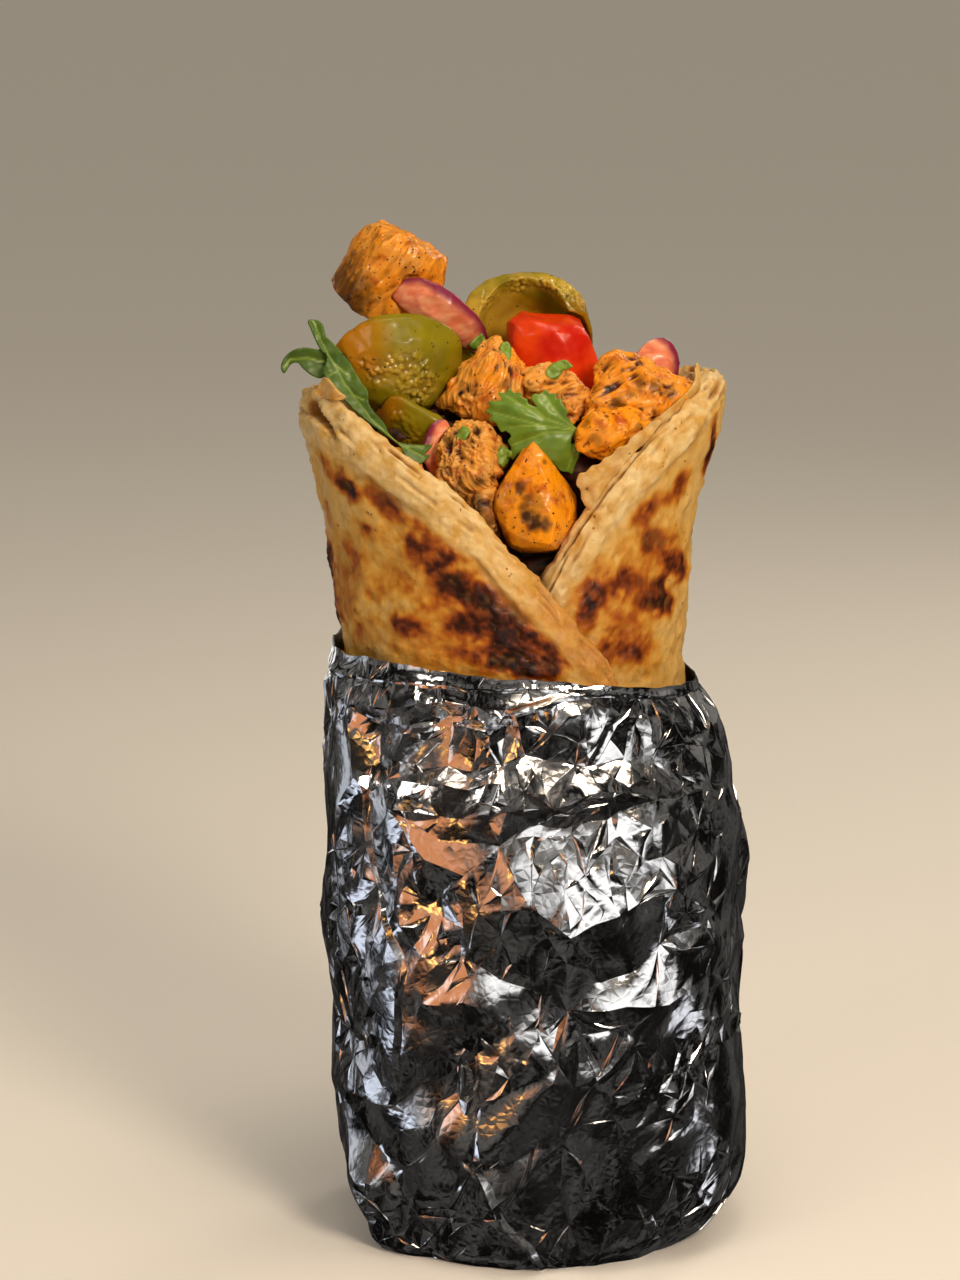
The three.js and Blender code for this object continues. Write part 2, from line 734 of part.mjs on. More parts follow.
// What is left of a solid after cutting others out of it: its largest single body.
function cutBack(solid, others) {
  let left = solid;
  for (const other of others) left = left.subtract(other);
  return left.decompose().sort((a, b) => b.volume() - a.volume())[0];
}

const group = new THREE.Group();
group.name = "kati_roll";

function addMesh(name, geometry, material, matrix = new THREE.Matrix4()) {
  const mesh = new THREE.Mesh(geometry, new THREE.MeshStandardMaterial(MATERIALS[material]));
  mesh.name = name;
  mesh.applyMatrix4(matrix);
  group.add(mesh);
}

addMesh("foil_wrap", foilGeometry(), "foil");
addMesh("paratha", parathaGeometry(), "paratha");

const paratha = solidFrom(parathaGeometry(CLEARANCE));
const taken = [paratha];
const takenFromCore = [];
for (const { name, material, at, turn, shape } of PIECES) {
  const rotation = new THREE.Quaternion().setFromEuler(new THREE.Euler(...turn.map(degToRad), "ZYX"));
  const place = new THREE.Matrix4().compose(new THREE.Vector3(...at), rotation, new THREE.Vector3(1, 1, 1));
  const placed = (grow, coarse) => solidFrom(shape(grow, coarse).applyMatrix4(place));
  const solid = cutBack(placed(0, false), taken);
  taken.push(placed(CLEARANCE, false));
  takenFromCore.push(placed(CORE_CLEARANCE, true));
  addMesh(name, geometryFromSolid(solid).applyMatrix4(place.clone().invert()), material, place);
}
addMesh("filling_core", geometryFromSolid(cutBack(solidFrom(coreGeometry()), takenFromCore)), "filling");

export default group;
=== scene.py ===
# %% [markdown]
# # A kati roll in its foil
# The frame holds the roll as plain solids at their real size: a foil cup, a rolled paratha and the pieces
# of its filling. This lesson gives each of them the surface that the real thing has. Every piece keeps
# the place and the form of the solid that it stands for.

import math

import bpy
import numpy as np
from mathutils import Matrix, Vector
from mathutils.bvhtree import BVHTree
from mathutils.geometry import delaunay_2d_cdt
from mathutils.kdtree import KDTree


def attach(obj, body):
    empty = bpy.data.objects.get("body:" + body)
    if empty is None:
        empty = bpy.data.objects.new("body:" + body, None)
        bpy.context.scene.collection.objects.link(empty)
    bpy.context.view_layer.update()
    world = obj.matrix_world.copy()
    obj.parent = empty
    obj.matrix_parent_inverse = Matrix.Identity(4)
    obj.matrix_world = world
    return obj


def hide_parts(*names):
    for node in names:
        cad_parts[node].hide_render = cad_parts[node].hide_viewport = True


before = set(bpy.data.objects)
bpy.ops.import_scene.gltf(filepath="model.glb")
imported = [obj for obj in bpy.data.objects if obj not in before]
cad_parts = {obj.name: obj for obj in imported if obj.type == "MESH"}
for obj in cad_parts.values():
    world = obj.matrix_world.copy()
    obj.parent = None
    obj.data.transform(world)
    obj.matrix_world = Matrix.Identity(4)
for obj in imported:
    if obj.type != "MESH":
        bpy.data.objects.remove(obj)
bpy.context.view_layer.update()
scene = bpy.context.scene
MM = 0.001  # lengths below are in millimetres, and Blender's are in metres
print("solids in the frame:", len(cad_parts))

# %% [markdown]
# ## The camera
# The photograph looks down on the roll by 12 degrees, from about arm's length with a long lens. Its focal
# length in pixels gives both Blender's lens and the line of sight through any pixel, so that a mark seen
# in the photograph can be laid on the surface that carries it.

# %% Camera and lines of sight
IMAGE_SIZE = (960, 1280)
FOCAL_PIXELS = 3720
SENSOR = 36
VIEW_DISTANCE = 600
VIEW_TARGET = np.array((-7.3, 0, 97.3))
VIEW_ELEVATION = math.radians(12)
VIEW_AHEAD = np.array((0, math.cos(VIEW_ELEVATION), -math.sin(VIEW_ELEVATION)))
VIEW_UP = np.array((0, math.sin(VIEW_ELEVATION), math.cos(VIEW_ELEVATION)))
VIEW_RIGHT = np.array((1, 0, 0))
VIEW_FROM = VIEW_TARGET - VIEW_DISTANCE * VIEW_AHEAD
PIXELS_PER_MM = FOCAL_PIXELS / VIEW_DISTANCE

camera = bpy.data.objects.new("camera", bpy.data.cameras.new("camera"))
camera.data.sensor_width = SENSOR
camera.data.lens = SENSOR * FOCAL_PIXELS / IMAGE_SIZE[1]
camera.data.clip_start = 0.01
camera.location = VIEW_FROM * MM
camera.rotation_euler = (math.pi / 2 - VIEW_ELEVATION, 0, 0)
scene.collection.objects.link(camera)
scene.camera = camera


def sight_line(pixel):
    """The direction from the camera through a pixel of the photograph."""
    across = (pixel[0] - IMAGE_SIZE[0] / 2) / FOCAL_PIXELS
    above = (IMAGE_SIZE[1] / 2 - pixel[1]) / FOCAL_PIXELS
    ahead = VIEW_AHEAD + across * VIEW_RIGHT + above * VIEW_UP
    return ahead / np.linalg.norm(ahead)


print("camera lens:", round(camera.data.lens, 1), "mm")

# %% [markdown]
# ## Colours and nodes
# Colours are written as the hex values that a colour picker shows, and Blender's shaders need them as
# linear light. One small function adds a node with its settings and links, in shaders and in Geometry
# Nodes alike. Most finishes below need soft spots of a known size, so that pattern has a name too.

# %% Colour and node helpers
def linear(hex_colour):
    """An sRGB hex colour as linear red, green, blue and alpha."""
    shares = [int(hex_colour[i : i + 2], 16) / 255 for i in (1, 3, 5)]
    return [s / 12.92 if s <= 0.04045 else ((s + 0.055) / 1.055) ** 2.4 for s in shares] + [1]


def add_node(tree, kind, inputs={}, output=None, **settings):
    """Adds a node and gives it, or one of its outputs. An input is a socket, a hex colour or a value."""
    node = tree.nodes.new(kind)
    for name, value in settings.items():
        setattr(node, name, value)
    for name, value in inputs.items():
        if isinstance(value, bpy.types.NodeSocket):
            tree.links.new(value, node.inputs[name])
        else:
            node.inputs[name].default_value = linear(value) if isinstance(value, str) else value
    return node if output is None else node.outputs[output]


def new_material(name):
    """A material with an empty node tree, and that tree."""
    material = bpy.data.materials.new(name)
    material.use_nodes = True
    material.node_tree.nodes.clear()
    return material, material.node_tree


def spots(tree, size, low, high, detail=3, stretch=(1, 1, 1), to=(0, 1)):
    """Soft spots about `size` mm across. Noise below low gives the first of `to`, above high the second."""
    place = add_node(tree, "ShaderNodeTexCoord", output="Object")
    place = add_node(tree, "ShaderNodeMapping", {"Vector": place, "Scale": stretch}, 0)
    inputs = {"Vector": place, "Scale": 1 / (size * MM), "Detail": detail}
    lumps = add_node(tree, "ShaderNodeTexNoise", inputs, "Fac")
    inputs = {"Value": lumps, "From Min": low, "From Max": high, "To Min": to[0], "To Max": to[1]}
    return add_node(tree, "ShaderNodeMapRange", inputs, "Result")


# %% [markdown]
# ## Studio
# A plain pale floor and soft warm light: an even ceiling, a box above, a key from the upper right, a fill
# from the left and one behind. The foil is a mirror with thousands of facets and shows mostly what stands
# around it, so dim cards stand round the roll, as a product photographer puts them. Small ones close to it,
# silver, copper and gold, show in parts of it only. Cards and lamps show in shiny things alone, and each
# glows most in its middle, because a hard edge of light would be drawn again in every facet. The room is
# dark below and has grey patches above, and the standard view keeps colours as they are. The floor is matt
# paper without any shine, so that only the roll's shadow shows on it.

# %% Floor and room
FLOOR_SIZE = 80
FLOOR_COLOUR = "#f6f3ee"

floor = bpy.data.objects.new("floor", bpy.data.meshes.new("floor"))
half = FLOOR_SIZE / 2
corners = [(-half, -half, 0), (half, -half, 0), (half, half, 0), (-half, half, 0)]
floor.data.from_pydata(corners, [], [(0, 1, 2, 3)])
scene.collection.objects.link(floor)
paper, tree = new_material("pale paper floor")
inputs = {"Base Color": FLOOR_COLOUR, "Roughness": 0.9, "Specular IOR Level": 0}
surface = add_node(tree, "ShaderNodeBsdfPrincipled", inputs, "BSDF")
add_node(tree, "ShaderNodeOutputMaterial", {"Surface": surface})
floor.data.materials.append(paper)
floor.visible_glossy = False  # the foil mirrors the dark room, and not the pale floor

scene.view_settings.view_transform = "Standard"
scene.world = bpy.data.worlds.new("dim room")
scene.world.use_nodes = True
tree = scene.world.node_tree
tree.nodes.clear()
around = add_node(tree, "ShaderNodeTexCoord", output="Generated")
patches = add_node(tree, "ShaderNodeTexNoise", {"Vector": around, "Scale": 3.6, "Detail": 2}, "Fac")
inputs = {"Value": patches, "From Min": 0.44, "From Max": 0.74}
grey = add_node(tree, "ShaderNodeMapRange", inputs, "Result")
height = add_node(tree, "ShaderNodeSeparateXYZ", {"Vector": around}, "Z")
inputs = {"Value": height, "From Min": -0.25, "From Max": 0.15, "To Min": 0.3}
above = add_node(tree, "ShaderNodeMapRange", inputs, "Result")
grey = add_node(tree, "ShaderNodeMath", {0: grey, 1: above}, 0, operation="MULTIPLY")
room = add_node(tree, "ShaderNodeMix", {0: grey, 6: "#0a0908", 7: "#98938c"}, 2, data_type="RGBA")
room = add_node(tree, "ShaderNodeBackground", {"Color": room}, "Background")
add_node(tree, "ShaderNodeOutputWorld", {"Surface": room})
print("floor:", FLOOR_SIZE, "m across")

# %% Lights
CEILING = dict(watts_per_m2=0.78, spread=110, colour="#fff0d8")
SOFTBOXES = {
    # place, point that it faces, width and height, watts, colour
    "key box": ((270, -500, 430), (0, 0, 110), (260, 240), 2.6, "#ffe8cc"),
    "top box": ((40, -80, 620), (0, 0, 110), (300, 240), 0.75, "#ffecd4"),
    "left box": ((-400, -420, 400), (0, 0, 100), (180, 220), 0.32, "#fff2e2"),
    "rim box": ((320, 420, 420), (0, 0, 110), (240, 300), 0.6, "#fff0da"),
    "left card": ((-430, -330, 40), (0, 0, 60), (200, 300), 0.05, "#f0eeec"),
    "right card": ((420, -430, 110), (0, 0, 60), (110, 220), 0.012, "#f4f4fa"),
    "rear card": ((-420, 160, 10), (0, 0, 60), (200, 300), 0.05, "#e8ecf4"),
    "silver card": ((60, -150, 62), (5, -25, 68), (200, 66), 0.0245, "#fbf8f4"),
    "copper card": ((-95, -125, 47), (-12, -25, 60), (200, 84), 0.0225, "#e4935f"),
    "gold lamp": ((-75, -125, 88), (-12, -28, 62), (44, 12), 0.0026, "#ffba62"),
    "lower gold lamp": ((-62, -135, 22), (-12, -28, 55), (30, 12), 0.0018, "#ffba62"),
    "low card": ((122, -18, -30), (30, -8, 8), (56, 40), 0.0034, "#f6f6fa"),
    "low left card": ((-150, -50, -6), (-28, -8, 28), (120, 30), 0.006, "#e4ebfa"),
    "back card": ((-180, 520, 70), (0, 0, 50), (220, 260), 0.13, "#f2efe9"),
    "small lamp": ((130, -480, 360), (0, -10, 130), (60, 60), 0.17, "#fff2dc"),
}
# A box's cloth glows most in its middle: shares of its width from there, and the gain that keeps its power.
BOX_MIDDLE = 0.15
BOX_EDGE = 0.55
BOX_GAIN = 2.44


def softbox(name, stand, aim, size, power, colour):
    """A rectangle of light, in millimetres, turned towards a point and fading towards its edges."""
    light = bpy.data.lights.new(name, "AREA")
    light.shape = "RECTANGLE"
    light.size, light.size_y = size[0] * MM, size[1] * MM
    light.energy = power
    light.color = linear(colour)[:3]
    light.use_nodes = True
    tree = light.node_tree
    tree.nodes.clear()
    place = add_node(tree, "ShaderNodeNewGeometry", output="Parametric")
    inputs = {0: place, 1: (0.5, 0.5, 0)}
    far = add_node(tree, "ShaderNodeVectorMath", inputs, "Value", operation="DISTANCE")
    inputs = {"Value": far, "From Min": BOX_EDGE, "From Max": BOX_MIDDLE, "To Max": BOX_GAIN}
    bright = add_node(tree, "ShaderNodeMapRange", inputs, "Result", interpolation_type="SMOOTHSTEP")
    glow = add_node(tree, "ShaderNodeEmission", {"Strength": bright}, "Emission")
    add_node(tree, "ShaderNodeOutputLight", {"Surface": glow})
    box = bpy.data.objects.new(name, light)
    box.visible_camera = False
    box.visible_diffuse = "box" in name  # cards and lamps show in shiny things only
    box.location = Vector(stand) * MM
    box.rotation_euler = (Vector(aim) - Vector(stand)).to_track_quat("-Z", "Y").to_euler()
    scene.collection.objects.link(box)


for name, settings in SOFTBOXES.items():
    softbox(name, *settings)
ceiling = bpy.data.objects.new("even ceiling", bpy.data.lights.new("even ceiling", "SUN"))
ceiling.data.energy = CEILING["watts_per_m2"]
ceiling.data.angle = math.radians(CEILING["spread"])
ceiling.data.color = linear(CEILING["colour"])[:3]
ceiling.visible_glossy = False
scene.collection.objects.link(ceiling)
print("lights:", list(SOFTBOXES))

# %% [markdown]
# ## Lumps and stations
# Food and foil are uneven all over, so many pieces below need smooth random lumps whose size is known in
# millimetres. This is gradient noise, worked out for all vertices at once. Some sizes are known at a few
# stations only, and a smooth curve goes through those.

# %% Noise and curves
NOISE_ORDER = np.random.default_rng(5).permutation(256)
NOISE_SLOPES = np.random.default_rng(6).normal(size=(256, 3))
NOISE_SLOPES /= np.linalg.norm(NOISE_SLOPES, axis=1, keepdims=True)
NOISE_START = 0.37
NOISE_SHIFT = 17.31  # each seed moves the pattern on by this many cells
NOISE_GAIN = 1.6  # plain gradient noise stays well inside -1 to 1, and this fills that range


def noise(points, size, seed=0):
    """Smooth lumps about `size` across, from -1 to 1. The size is one length, or one for each axis."""
    place = points / np.asarray(size, float) + NOISE_SHIFT * seed + NOISE_START
    cell = np.floor(place).astype(int)
    inside = place - cell
    ease = inside**3 * (inside * (inside * 6 - 15) + 10)
    total = np.zeros(len(points))
    for corner in np.ndindex(2, 2, 2):
        x, y, z = ((cell + corner) & 255).T
        slope = NOISE_SLOPES[NOISE_ORDER[(x + NOISE_ORDER[(y + NOISE_ORDER[z]) & 255]) & 255]]
        weight = np.prod(np.where(corner, ease, 1 - ease), axis=1)
        total += weight * np.sum(slope * (inside - corner), axis=1)
    return np.clip(NOISE_GAIN * total, -1, 1)


def lumpy(points, *layers):
    """Lumps of several sizes added up. Each layer is a height, a size and a seed."""
    return sum(height * noise(points, size, seed) for height, size, seed in layers)


def smoothstep(value, low, high):
    """0 below low, 1 above high, and a smooth rise between them."""
    share = np.clip((value - low) / (high - low), 0, 1)
    return share * share * (3 - 2 * share)


def station_curve(stations):
    """A smooth curve through (position, value) stations, level past its ends."""
    at, values = np.array(stations, float).T
    slopes = np.gradient(values, at)

    def curve(position):
        position = np.clip(position, at[0], at[-1])
        k = np.clip(np.searchsorted(at, position) - 1, 0, len(at) - 2)
        gap = at[k + 1] - at[k]
        t = (position - at[k]) / gap
        rise = (values[k + 1] - values[k]) * t * t * (3 - 2 * t)
        bend = gap * t * (1 - t) * (slopes[k] * (1 - t) - slopes[k + 1] * t)
        return values[k] + rise + bend

    return curve


print("noise slopes:", len(NOISE_SLOPES))

# %% [markdown]
# ## From arrays to pieces
# Most pieces are worked out as arrays of points in millimetres. These helpers turn them into meshes, read
# a mesh's points and normals back, move its surface, and keep numbers at its vertices for a material.

# %% Meshes and their points
def mesh_from(name, points, faces):
    """A mesh from points in millimetres."""
    mesh = bpy.data.meshes.new(name)
    mesh.from_pydata(np.asarray(points) * MM, [], faces)
    mesh.update()
    return mesh


def read_vectors(collection, field, kind=np.float32):
    """All vectors of a mesh's collection as an array of rows."""
    values = np.empty(len(collection) * 3, kind)
    collection.foreach_get(field, values)
    return values.reshape(-1, 3)


def vertex_points(mesh):
    return read_vectors(mesh.vertices, "co").astype(float) / MM


def vertex_normals(mesh):
    return read_vectors(mesh.vertex_normals, "vector").astype(float)


def push_out(mesh, relief):
    """Moves each vertex along its normal by its own height in millimetres."""
    points = vertex_points(mesh) + vertex_normals(mesh) * relief[:, None]
    mesh.vertices.foreach_set("co", (points * MM).astype(np.float32).ravel())
    mesh.update()


def keep_values(mesh, **values):
    """Keeps numbers at the vertices, for the material to read."""
    for name, numbers in values.items():
        field = mesh.attributes.new(name, "FLOAT", "POINT")
        field.data.foreach_set("value", np.asarray(numbers, np.float32))


# %% [markdown]
# Modifiers are applied at once and every finished piece is a plain mesh, so that the render and the export
# see the same thing. A piece stands for the solids that it covers, and has a slot for its finish.

# %% Applied modifiers and finished pieces
pieces = {}


def modified(mesh, *modifiers):
    """The mesh that is left when modifiers, each a name and its settings, are applied to a mesh."""
    carrier = bpy.data.objects.new("carrier", mesh)
    scene.collection.objects.link(carrier)
    for kind, settings in modifiers:
        modifier = carrier.modifiers.new(kind.lower(), kind)
        for name, value in settings.items():
            setattr(modifier, name, value)
    evaluated = carrier.evaluated_get(bpy.context.evaluated_depsgraph_get())
    result = bpy.data.meshes.new_from_object(evaluated)
    bpy.data.objects.remove(carrier)
    bpy.data.meshes.remove(mesh)
    return result


def finish_piece(name, mesh, material, nodes=()):
    """Makes a mesh a piece of the object, standing for the named solids."""
    mesh.shade_smooth()
    mesh.materials.clear()
    mesh.materials.append(material)
    piece = bpy.data.objects.new(name, mesh)
    scene.collection.objects.link(piece)
    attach(piece, "root")
    if nodes:
        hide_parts(*nodes)
    pieces[name] = piece
    print(f"{name}: {len(mesh.polygons)} faces")


# %% [markdown]
# ## The roll's section
# Foil and paratha both follow the roll: an oval tube that widens towards its top and leans a little. Angles
# start at the front and grow towards the right, as in the solids.

# %% Section of the roll
DEPTH_RATIO = 0.9
SQUARENESS = 2.3
ROLL_STATIONS = [
    # height above the base, half width
    (0, 26.2), (9, 28.2), (32, 29.2), (70, 29.4), (96, 27.6),
    (105, 28.6), (115, 29.4), (124, 31), (132, 33.3), (139, 34.5),
]
ROLL_HALF_WIDTH = station_curve(ROLL_STATIONS)
ROLL_AXIS_X = station_curve([(0, 2.4), (40, 1.2), (96, -1.6), (141, -2.6)])


def roll_radius(angle, z):
    """Distance from the roll's axis to the paratha's outer face."""
    across = np.abs(np.sin(np.radians(angle)))
    along = np.abs(np.cos(np.radians(angle))) / DEPTH_RATIO
    return ROLL_HALF_WIDTH(z) * (across**SQUARENESS + along**SQUARENESS) ** (-1 / SQUARENESS)


def point_at(angle, radius, z):
    """Points on the roll, as rows of x, y and z."""
    turn = np.radians(angle)
    x = ROLL_AXIS_X(z) + radius * np.sin(turn)
    y = -radius * np.cos(turn)
    return np.stack(np.broadcast_arrays(x, y, z), -1)


def grid_faces(rows, columns, closed):
    """Squares between the rows of a grid of points, numbered row by row."""
    k = np.arange(columns if closed else columns - 1)
    faces = []
    for row in range(rows - 1):
        low = row * columns
        ahead = (k + 1) % columns
        faces.append(np.stack([low + k, low + ahead, low + columns + ahead, low + columns + k], -1))
    return np.concatenate(faces).tolist()


print("half widths of the roll:", [width for _, width in ROLL_STATIONS])

# %% [markdown]
# ## The foil
# Kitchen foil keeps every fold it was given: facets with sharp creases between them, from finger-wide
# panels down to fine crackle. A smooth noise would look like cloth, so the unrolled sheet is a sum of nets
# of triangles: large panels whose folds are read from the photograph, long narrow folds across them, and
# fine crumples in some parts. The creases of the two wide nets are kept as edges of the final one, and
# wander a little, because a handled sheet is never quite flat or straight.

# %% Places on the unrolled foil
FOIL_RIM = 95
FOIL_SLANT_FRONT = 1.8
FOIL_SLANT_LEFT = 2.9
FOIL_AIR = 0.9
FOIL_WALL = 0.9
FOIL_BULGE = 2.6
FOIL_LAP = 207.4  # length of the sheet round the roll
FOIL_RADIUS = FOIL_LAP / (2 * math.pi)
SEAM_MARGIN = 40  # how much of each end of the sheet is repeated past the other, so that the ends meet


def strewn_places(spacing, seed, margin=0):
    """Places (along, up) strewn evenly over the unrolled sheet, about `spacing` apart."""
    random = np.random.default_rng(seed)
    columns = round(FOIL_LAP / spacing)
    rows = round((FOIL_RIM + 2 * margin) / spacing)
    cells = np.stack(np.meshgrid(np.arange(columns), np.arange(rows)), -1).reshape(-1, 2)
    inside = cells + 0.5 + random.uniform(-0.43, 0.43, cells.shape)
    step = (FOIL_LAP / columns, (FOIL_RIM + 2 * margin) / rows)
    return inside * step - (FOIL_LAP / 2, margin)


def repeated(places):
    """Places with those near each end of the sheet repeated past the other, and where each came from."""
    laps = np.concatenate([places + (lap * FOIL_LAP, 0) for lap in (-1, 0, 1)])
    near = np.flatnonzero(np.abs(laps[:, 0]) < FOIL_LAP / 2 + SEAM_MARGIN)
    return laps[near], near % len(places)


# %% Nets of triangles
def net_of_triangles(places, edges=()):
    """A net between places that keeps given edges: corners, triangles, and each corner's place or -1."""
    net = delaunay_2d_cdt([Vector(p) for p in places], edges, [], 0, 1e-5)
    source = np.array([k[0] if k else -1 for k in net[3]])
    return np.array([(p.x, p.y) for p in net[0]]), np.array(net[2]), source


def folded_net(places, heights, lean=0, stretch=1):
    """Flat facets between raised places, drawn out along a leaning direction: places, creases and heights."""
    wide, source = repeated(places)
    turn = np.radians(lean)
    along = wide @ (np.cos(turn), np.sin(turn)) / stretch
    across = wide @ (-np.sin(turn), np.cos(turn))
    _, triangles, number = net_of_triangles(np.stack([along, across], -1))
    triangles = number[triangles]
    creases = np.unique(np.sort(triangles[:, [0, 1, 1, 2, 2, 0]].reshape(-1, 2), axis=1), axis=0)
    raised = np.column_stack([wide, heights[source]])
    return wide, creases, BVHTree.FromPolygons(raised.tolist(), triangles.tolist())


def height_of(tree, places):
    """The height of a folded net at places, and 0 past its ends."""
    met = [tree.ray_cast(Vector((a, b, 50)), Vector((0, 0, -1)))[0] for a, b in places]
    return np.array([point[2] if point else 0 for point in met])


def on_cylinder(places):
    """Places on the sheet as points of a plain cylinder, so that noise on them meets at the seam."""
    turn = places[:, 0] / FOIL_RADIUS
    return np.stack([FOIL_RADIUS * np.sin(turn), -FOIL_RADIUS * np.cos(turn), places[:, 1]], -1)


def subdivided(rows, triangles):
    """Each triangle as four, with new corners in the middle of its sides."""
    sides = np.sort(triangles[:, [0, 1, 1, 2, 2, 0]].reshape(-1, 2), axis=1)
    sides, which = np.unique(sides, axis=0, return_inverse=True)
    a, b, c = triangles.T
    ab, bc, ca = (which.reshape(-1, 3) + len(rows)).T
    four = [(a, ab, ca), (ab, b, bc), (ca, bc, c), (ab, bc, ca)]
    return np.concatenate([rows, rows[sides].mean(axis=1)]), np.concatenate([np.stack(t, -1) for t in four])


# %% Foil folds seen in the photograph
# Each is a pixel of the photograph and how far, in millimetres, the fold stands out there.
FOIL_FOLDS = [
    # the slit under the upper band, and the band above it
    (379, 727, -1.7), (440, 724, -1.9), (507, 721, -1.5), (360, 706, 0.9), (420, 700, 1.1), (480, 702, 0.9),
    # the folded strip that runs down from the rim, and the dark hollow under it
    (511, 708, 1.5), (570, 693, 1.9), (634, 678, 1.5), (530, 757, -1.0), (590, 763, -1.0), (655, 760, -0.5),
    (668, 700, 1.1), (692, 735, 0.9),
    # the bright ledge across the middle
    (379, 762, -1.5), (449, 766, -1.7), (507, 768, -1.4), (366, 776, 1.1), (400, 778, 0.9), (450, 781, 0.8),
    (505, 784, 0.8), (400, 806, 1.9), (449, 811, 1.8), (505, 812, 1.6), (545, 800, 1.9), (600, 790, 1.9),
    (645, 800, 0.7), (690, 790, 1.1),
    # panels under the ledge
    (400, 838, 0.9), (450, 834, 1.0), (500, 842, 0.8), (432, 856, 1.3), (470, 872, 1.3), (535, 822, 0.3),
    (605, 822, 0.2), (528, 906, 1.7), (562, 927, 2.1), (604, 914, 1.9), (660, 882, 1.7), (700, 852, 1.2),
    (562, 968, -0.2), (604, 982, -0.5), (660, 944, -0.2), (400, 902, 0.9), (440, 905, 0.1), (485, 905, 0.9),
    (425, 955, 0.6), (460, 965, -0.2), (433, 1005, 0.7), (482, 1005, 0.8), (478, 1050, -0.3),
    # the upright panel on the left
    (374, 795, 0.1), (376, 838, -0.7), (376, 882, -0.6), (350, 805, 0.9), (346, 870, 0.8),
    (342, 950, 1.1), (372, 962, 0.1), (406, 990, 1.0), (412, 1042, 1.1), (402, 1100, 0.8),
    (384, 1142, 0.1), (350, 1080, 1.2),
    # the star below the middle
    (529, 984, -0.3), (548, 1076, 1.2), (568, 1014, -0.1), (618, 1000, 1.0), (655, 999, 1.4),
    (620, 1032, 0.2), (666, 1036, 0.3), (692, 974, 1.4), (514, 1030, 0.3), (600, 1085, 0.2),
    (642, 1105, 0.8), (622, 1152, 0.0), (702, 1120, 0.8),
    # the tuck and the seam at the bottom
    (372, 1166, 1.1), (476, 1170, 1.1), (420, 1205, 0.3), (440, 1240, 0.0), (502, 1200, 1.6),
    (532, 1248, 1.4), (560, 1200, 0.2), (692, 1182, 0.9), (722, 1152, 0.6), (702, 1232, 0.4),
    (722, 1222, 1.0),
]
FOIL_LINES = [
    # narrow ridges and grooves: their pixels, and how far they stand out
    ([(376, 728), (440, 725), (510, 721)], -1.2),
    ([(505, 713), (570, 695), (640, 677)], 0.8),
    ([(372, 775), (374, 838), (378, 884), (398, 928), (412, 965), (405, 1050), (400, 1100)], -0.7),
    ([(482, 1168), (510, 1212), (544, 1272)], 1.0),
]
print("foil folds:", len(FOIL_FOLDS), "and lines:", len(FOIL_LINES))

# %% [markdown]
# The foil's mean surface is a formula, so the place of a pixel on the unrolled sheet is found in a few
# rounds: guess how deep the surface lies, follow the line of sight to there, and work the depth out again.

# %% From pixels to the sheet
FOIL_BULGE_ENDS = (78, 92)  # the bulge on the right fades between these heights
RIM_RIPPLE = 0.8
RIM_RIPPLE_LAP = 5.2  # radius of the circle on which the ripple's noise is read
FOLD_GAIN = 1.2  # folds stand out a little more than they seem to


def foil_inner_radius(angle, z):
    """Distance from the roll's axis to the foil's inner face."""
    right = np.maximum(0, np.sin(np.radians(angle)))
    bulge = FOIL_BULGE * right**2 * (1 - smoothstep(z, *FOIL_BULGE_ENDS))
    return roll_radius(angle, z) + FOIL_AIR + bulge


def foil_rim(angle):
    """Height of the foil's upper edge, which slants and ripples."""
    turn = np.radians(angle)
    lap = np.stack([RIM_RIPPLE_LAP * np.sin(turn), RIM_RIPPLE_LAP * np.cos(turn), 0 * turn], -1)
    slant = FOIL_SLANT_FRONT * np.cos(turn) - FOIL_SLANT_LEFT * np.sin(turn)
    return FOIL_RIM + slant + RIM_RIPPLE * noise(lap, 1, 3)


def place_on_foil(pixel):
    """Where a line of sight meets the foil's mean surface, as its place on the unrolled sheet."""
    z, y = 50.0, -30.0
    for _ in range(8):
        ahead = sight_line(pixel)
        point = VIEW_FROM + ahead * (y - VIEW_FROM[1]) / ahead[1]
        x, z = point[0] - ROLL_AXIS_X(point[2]), point[2]
        radius = foil_inner_radius(math.degrees(math.atan2(x, -y)), z) + FOIL_WALL
        x = np.clip(x, -0.98 * radius, 0.98 * radius)
        y = -math.sqrt(radius**2 - x**2)
    turn = math.atan2(x, -y)
    return turn * FOIL_RADIUS, z * FOIL_RIM / foil_rim(np.degrees([turn]))[0]


def distance_to_line(places, line):
    """Distance from each place to the nearest point of a line through corner points."""
    nearest = np.full(len(places), np.inf)
    for start, end in zip(np.array(line[:-1], float), np.array(line[1:], float)):
        way = end - start
        share = np.clip((places - start) @ way / (way @ way), 0, 1)
        nearest = np.minimum(nearest, np.linalg.norm(places - start - share[:, None] * way, axis=1))
    return nearest


fold_places = np.array([place_on_foil((u, v)) for u, v, _ in FOIL_FOLDS])
fold_heights = np.array([FOLD_GAIN * raised for _, _, raised in FOIL_FOLDS])
fold_lines = [np.array([place_on_foil(pixel) for pixel in pixels]) for pixels, _ in FOIL_LINES]
print("folds on the sheet from", fold_places.min(axis=0).round(), "to", fold_places.max(axis=0).round())

# %% [markdown]
# Between the folds that were seen, others are strewn at random, so that the crumpling goes all round. Fine
# crumples are many where the sheet was gripped and few elsewhere, as on any foil that was wrapped by hand.

